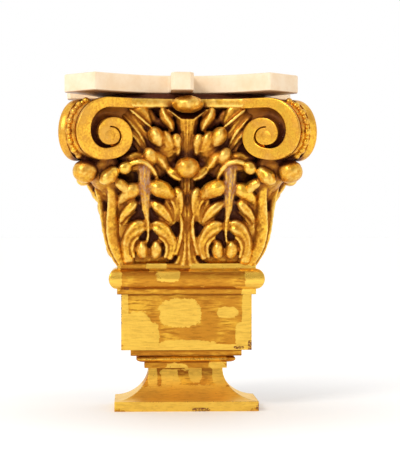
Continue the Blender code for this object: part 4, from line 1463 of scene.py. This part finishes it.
@dataclass
class Carving:
    """The whole carving: bell, leaves, stalks, bosses and volutes."""

    finish: Gilding = Gilding("gilded_carving", ground=(0.40, 0.23, 0.16), gloss=0.24, carved=True)
    voxel: float = 0.00122
    bell_voxel: float = 0.0016
    unevenness: float = 0.0005
    hump: float = 0.007
    skin_voxel: float = 0.0017
    scroll_level: float = 0.61
    near_relief: float = 0.0009
    far_relief: float = 0.0038
    lip: Lobe = Lobe(((-62, 158.4, 93, 5.3, 4.5), (-44, 158.4, 89, 5.3, 4.5), (0, 158.4, 85, 5.3, 4.5),
                      (44, 158.4, 89, 5.3, 4.5),
                      (62, 158.4, 93, 5.3, 4.5)), blunt=0.05, fullness=1.0, boxy=0.55)
    leaf: MainLeaf = field(default_factory=MainLeaf)
    stem: CentreStem = field(default_factory=CentreStem)
    spray: UpperSpray = field(default_factory=UpperSpray)
    corner: CornerLeaf = field(default_factory=CornerLeaf)
    volutes: Volutes = field(default_factory=Volutes)
    bell: Bell = field(default_factory=Bell)

    def dress(self, batch: Batch, mesh: bpy.types.Mesh, gold: bpy.types.Material, shelter: Shelter) -> None:
        """Finish one piece of the carving and tie it to the frame.

        Args:
            batch: what the piece was made from.
            mesh: its mesh.
            gold: the gilding.
            shelter: how closed in the carving's places are.
        """
        name = batch.name
        piece = link(name, mesh)
        shade(piece, 50.0)
        wear = Wear(mesh)
        places = batch.forms.setting.minutes(wear.points, batch.turn)
        sheltered = wear.sheltered(shelter)
        rubbed = np.zeros(len(places))
        proud = np.full(len(places), self.scroll_level)
        if batch.voxel:
            proud = wear.proud(self.near_relief, self.far_relief)
        if name.startswith("leaves"):
            rubbed = self.leaf.rubbed(places)
        # The bell's painted shade behind the leaves and in the gap under the abacus is added to how
        # sheltered it is.
        if name == "bell":
            sheltered = np.maximum(sheltered, self.bell.shade(places[:, 1]))
        wear.keep("proud", proud)
        wear.keep("sheltered", sheltered)
        wear.keep("rubbed", rubbed)
        mesh.materials.append(gold)
        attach(piece, "root")
        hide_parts("carved_capital")
        LOG.info("%s: %d faces", name, len(mesh.polygons))

    def batches(self, setting: Setting) -> list[Batch]:
        """Return the forms of every piece."""
        gathered = []
        for word, turn in (("front", Turn.FRONT), ("right", Turn.RIGHT), ("left", Turn.LEFT)):
            leaves = Assembly(setting)
            self.leaf.add_to(leaves, turn)
            self.stem.add_to(leaves, turn)
            self.spray.add_to(leaves, turn)
            gathered.append(Batch(f"leaves_{word}", leaves, self.voxel, turn))
        for word, turn in (("right", Turn.RIGHT_CORNER), ("left", Turn.LEFT_CORNER)):
            leaf = Assembly(setting)
            self.corner.add_to(leaf, turn)
            gathered.append(Batch(f"corner_leaf_{word}", leaf, self.voxel, turn))
            scrolls = Assembly(setting)
            self.volutes.add_to(scrolls, word == "left")
            gathered.append(Batch(f"volutes_{word}", scrolls, 0.0, turn))
        body = Assembly(setting)
        body.add(self.bell.shape(), Turn.FRONT)
        for turn in (Turn.FRONT, Turn.RIGHT, Turn.LEFT):
            body.add(self.lip.shape(), turn)
        gathered.append(Batch("bell", body, self.bell_voxel, Turn.FRONT))
        return gathered

    def build(self, setting: Setting) -> None:
        """Make every piece of the carving."""
        gold = replace(self.finish, back=setting.back).material()
        made = []
        everything = Assembly(setting)
        for batch in self.batches(setting):
            mesh = batch.forms.mesh(batch.name)
            everything.take(batch.forms)
            if batch.voxel:
                mesh = fused(batch.name, mesh, batch.voxel, setting.back)
                uneven(mesh, self.unevenness, self.hump, setting.back)
            made.append((batch, mesh))
        skin = fused("skin", everything.mesh("skin_rough"), self.skin_voxel, setting.back)
        shelter = Shelter(skin)
        bpy.data.meshes.remove(skin)
        for batch, mesh in made:
            self.dress(batch, mesh, gold, shelter)


@dataclass
class Studio:
    """Pale floor, soft light and a camera at the photograph's angle."""

    eye: tuple[float, float, float] = (-0.0621, -1.758, 0.2073)
    target: tuple[float, float, float] = (0.0155, -0.0333, 0.2073)
    lens: float = 117.1
    floor_size: float = 80.0

    def aimed(self, name: str, data: bpy.types.ID, place: tuple[float, float, float]) -> bpy.types.Object:
        """Put a camera or light at a place, facing the capital."""
        holder = link(name, data)
        holder.location = place
        holder.rotation_euler = (Vector(self.target) - Vector(place)).to_track_quat("-Z", "Y").to_euler()
        return holder

    def camera(self) -> None:
        """Set the camera."""
        lens = bpy.data.cameras.new("camera")
        lens.lens = self.lens
        lens.sensor_width = 36.0
        bpy.context.scene.camera = self.aimed("camera", lens, self.eye)

    def light(
        self, name: str, place: tuple[float, float, float], size: float, power: float, colour: Colour
    ) -> None:
        """Add a soft square light that faces the capital."""
        lamp = bpy.data.lights.new(name, "AREA")
        lamp.size = size
        lamp.energy = power
        lamp.color = colour
        self.aimed(name, lamp, place)

    def surroundings(self) -> None:
        """Set a white room that is dimmer behind the camera."""
        world = bpy.data.worlds.new("studio")
        bpy.context.scene.world = world
        world.use_nodes = True
        graph = Graph(world.node_tree)
        direction = graph.node("ShaderNodeTexCoord").outputs["Generated"]
        share = graph.ramp(graph.split(direction)["Y"], -0.9, 0.2)
        colour = graph.mix(share, (0.46, 0.40, 0.34, 1.0), (1.0, 1.0, 1.0, 1.0))
        graph.feed(world.node_tree.nodes["Background"].inputs["Color"], colour)
        world.node_tree.nodes["Background"].inputs["Strength"].default_value = 1.0

    def floor(self) -> None:
        """Lay the floor, whose glow is dimmed round the capital as a painted shadow."""
        bm = bmesh.new()
        bmesh.ops.create_grid(bm, x_segments=8, y_segments=8, size=self.floor_size / 2)
        mesh = bpy.data.meshes.new("floor")
        bm.to_mesh(mesh)
        bm.free()
        paint = bpy.data.materials.new("pale_floor")
        paint.use_nodes = True
        shader = paint.node_tree.nodes["Principled BSDF"]
        shader.inputs["Base Color"].default_value = (0.93, 0.93, 0.93, 1.0)
        shader.inputs["Roughness"].default_value = 0.7
        shader.inputs["Emission Color"].default_value = (1.0, 1.0, 1.0, 1.0)
        graph = Graph(paint.node_tree)
        away = graph.node("ShaderNodeVectorMath", operation="LENGTH")
        graph.feed(away.inputs[0], graph.position())
        # The glow is dimmed near the capital's foot as a painted contact shadow.
        glow_with_painted_shadow = graph.ramp(away.outputs["Value"], 0.10, 0.50, 0.02, 0.22)
        graph.feed(shader.inputs["Emission Strength"], glow_with_painted_shadow)
        mesh.materials.append(paint)
        link("floor", mesh)

    def build(self) -> None:
        """Set everything up."""
        self.camera()
        self.surroundings()
        self.floor()
        self.light("key", (-1.1, -1.5, 1.5), 0.7, 21.0, (1.0, 0.98, 0.94))
        self.light("fill", (1.6, -1.2, 0.7), 1.4, 4.0, (1.0, 1.0, 1.0))
        bpy.context.scene.view_settings.view_transform = "Standard"


def main() -> None:
    """Build the capital and the studio."""
    logging.basicConfig(level=logging.INFO, format="%(name)s: %(message)s")
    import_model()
    low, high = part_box("carved_capital")
    setting = Setting(back=high[1], bed=low[2], minute=(high[2] - low[2]) / MINUTES_IN_HEIGHT)
    Stem().build(setting)
    Abacus().build(setting)
    Carving().build(setting)
    Studio().build()


if __name__ == "__main__":
    main()
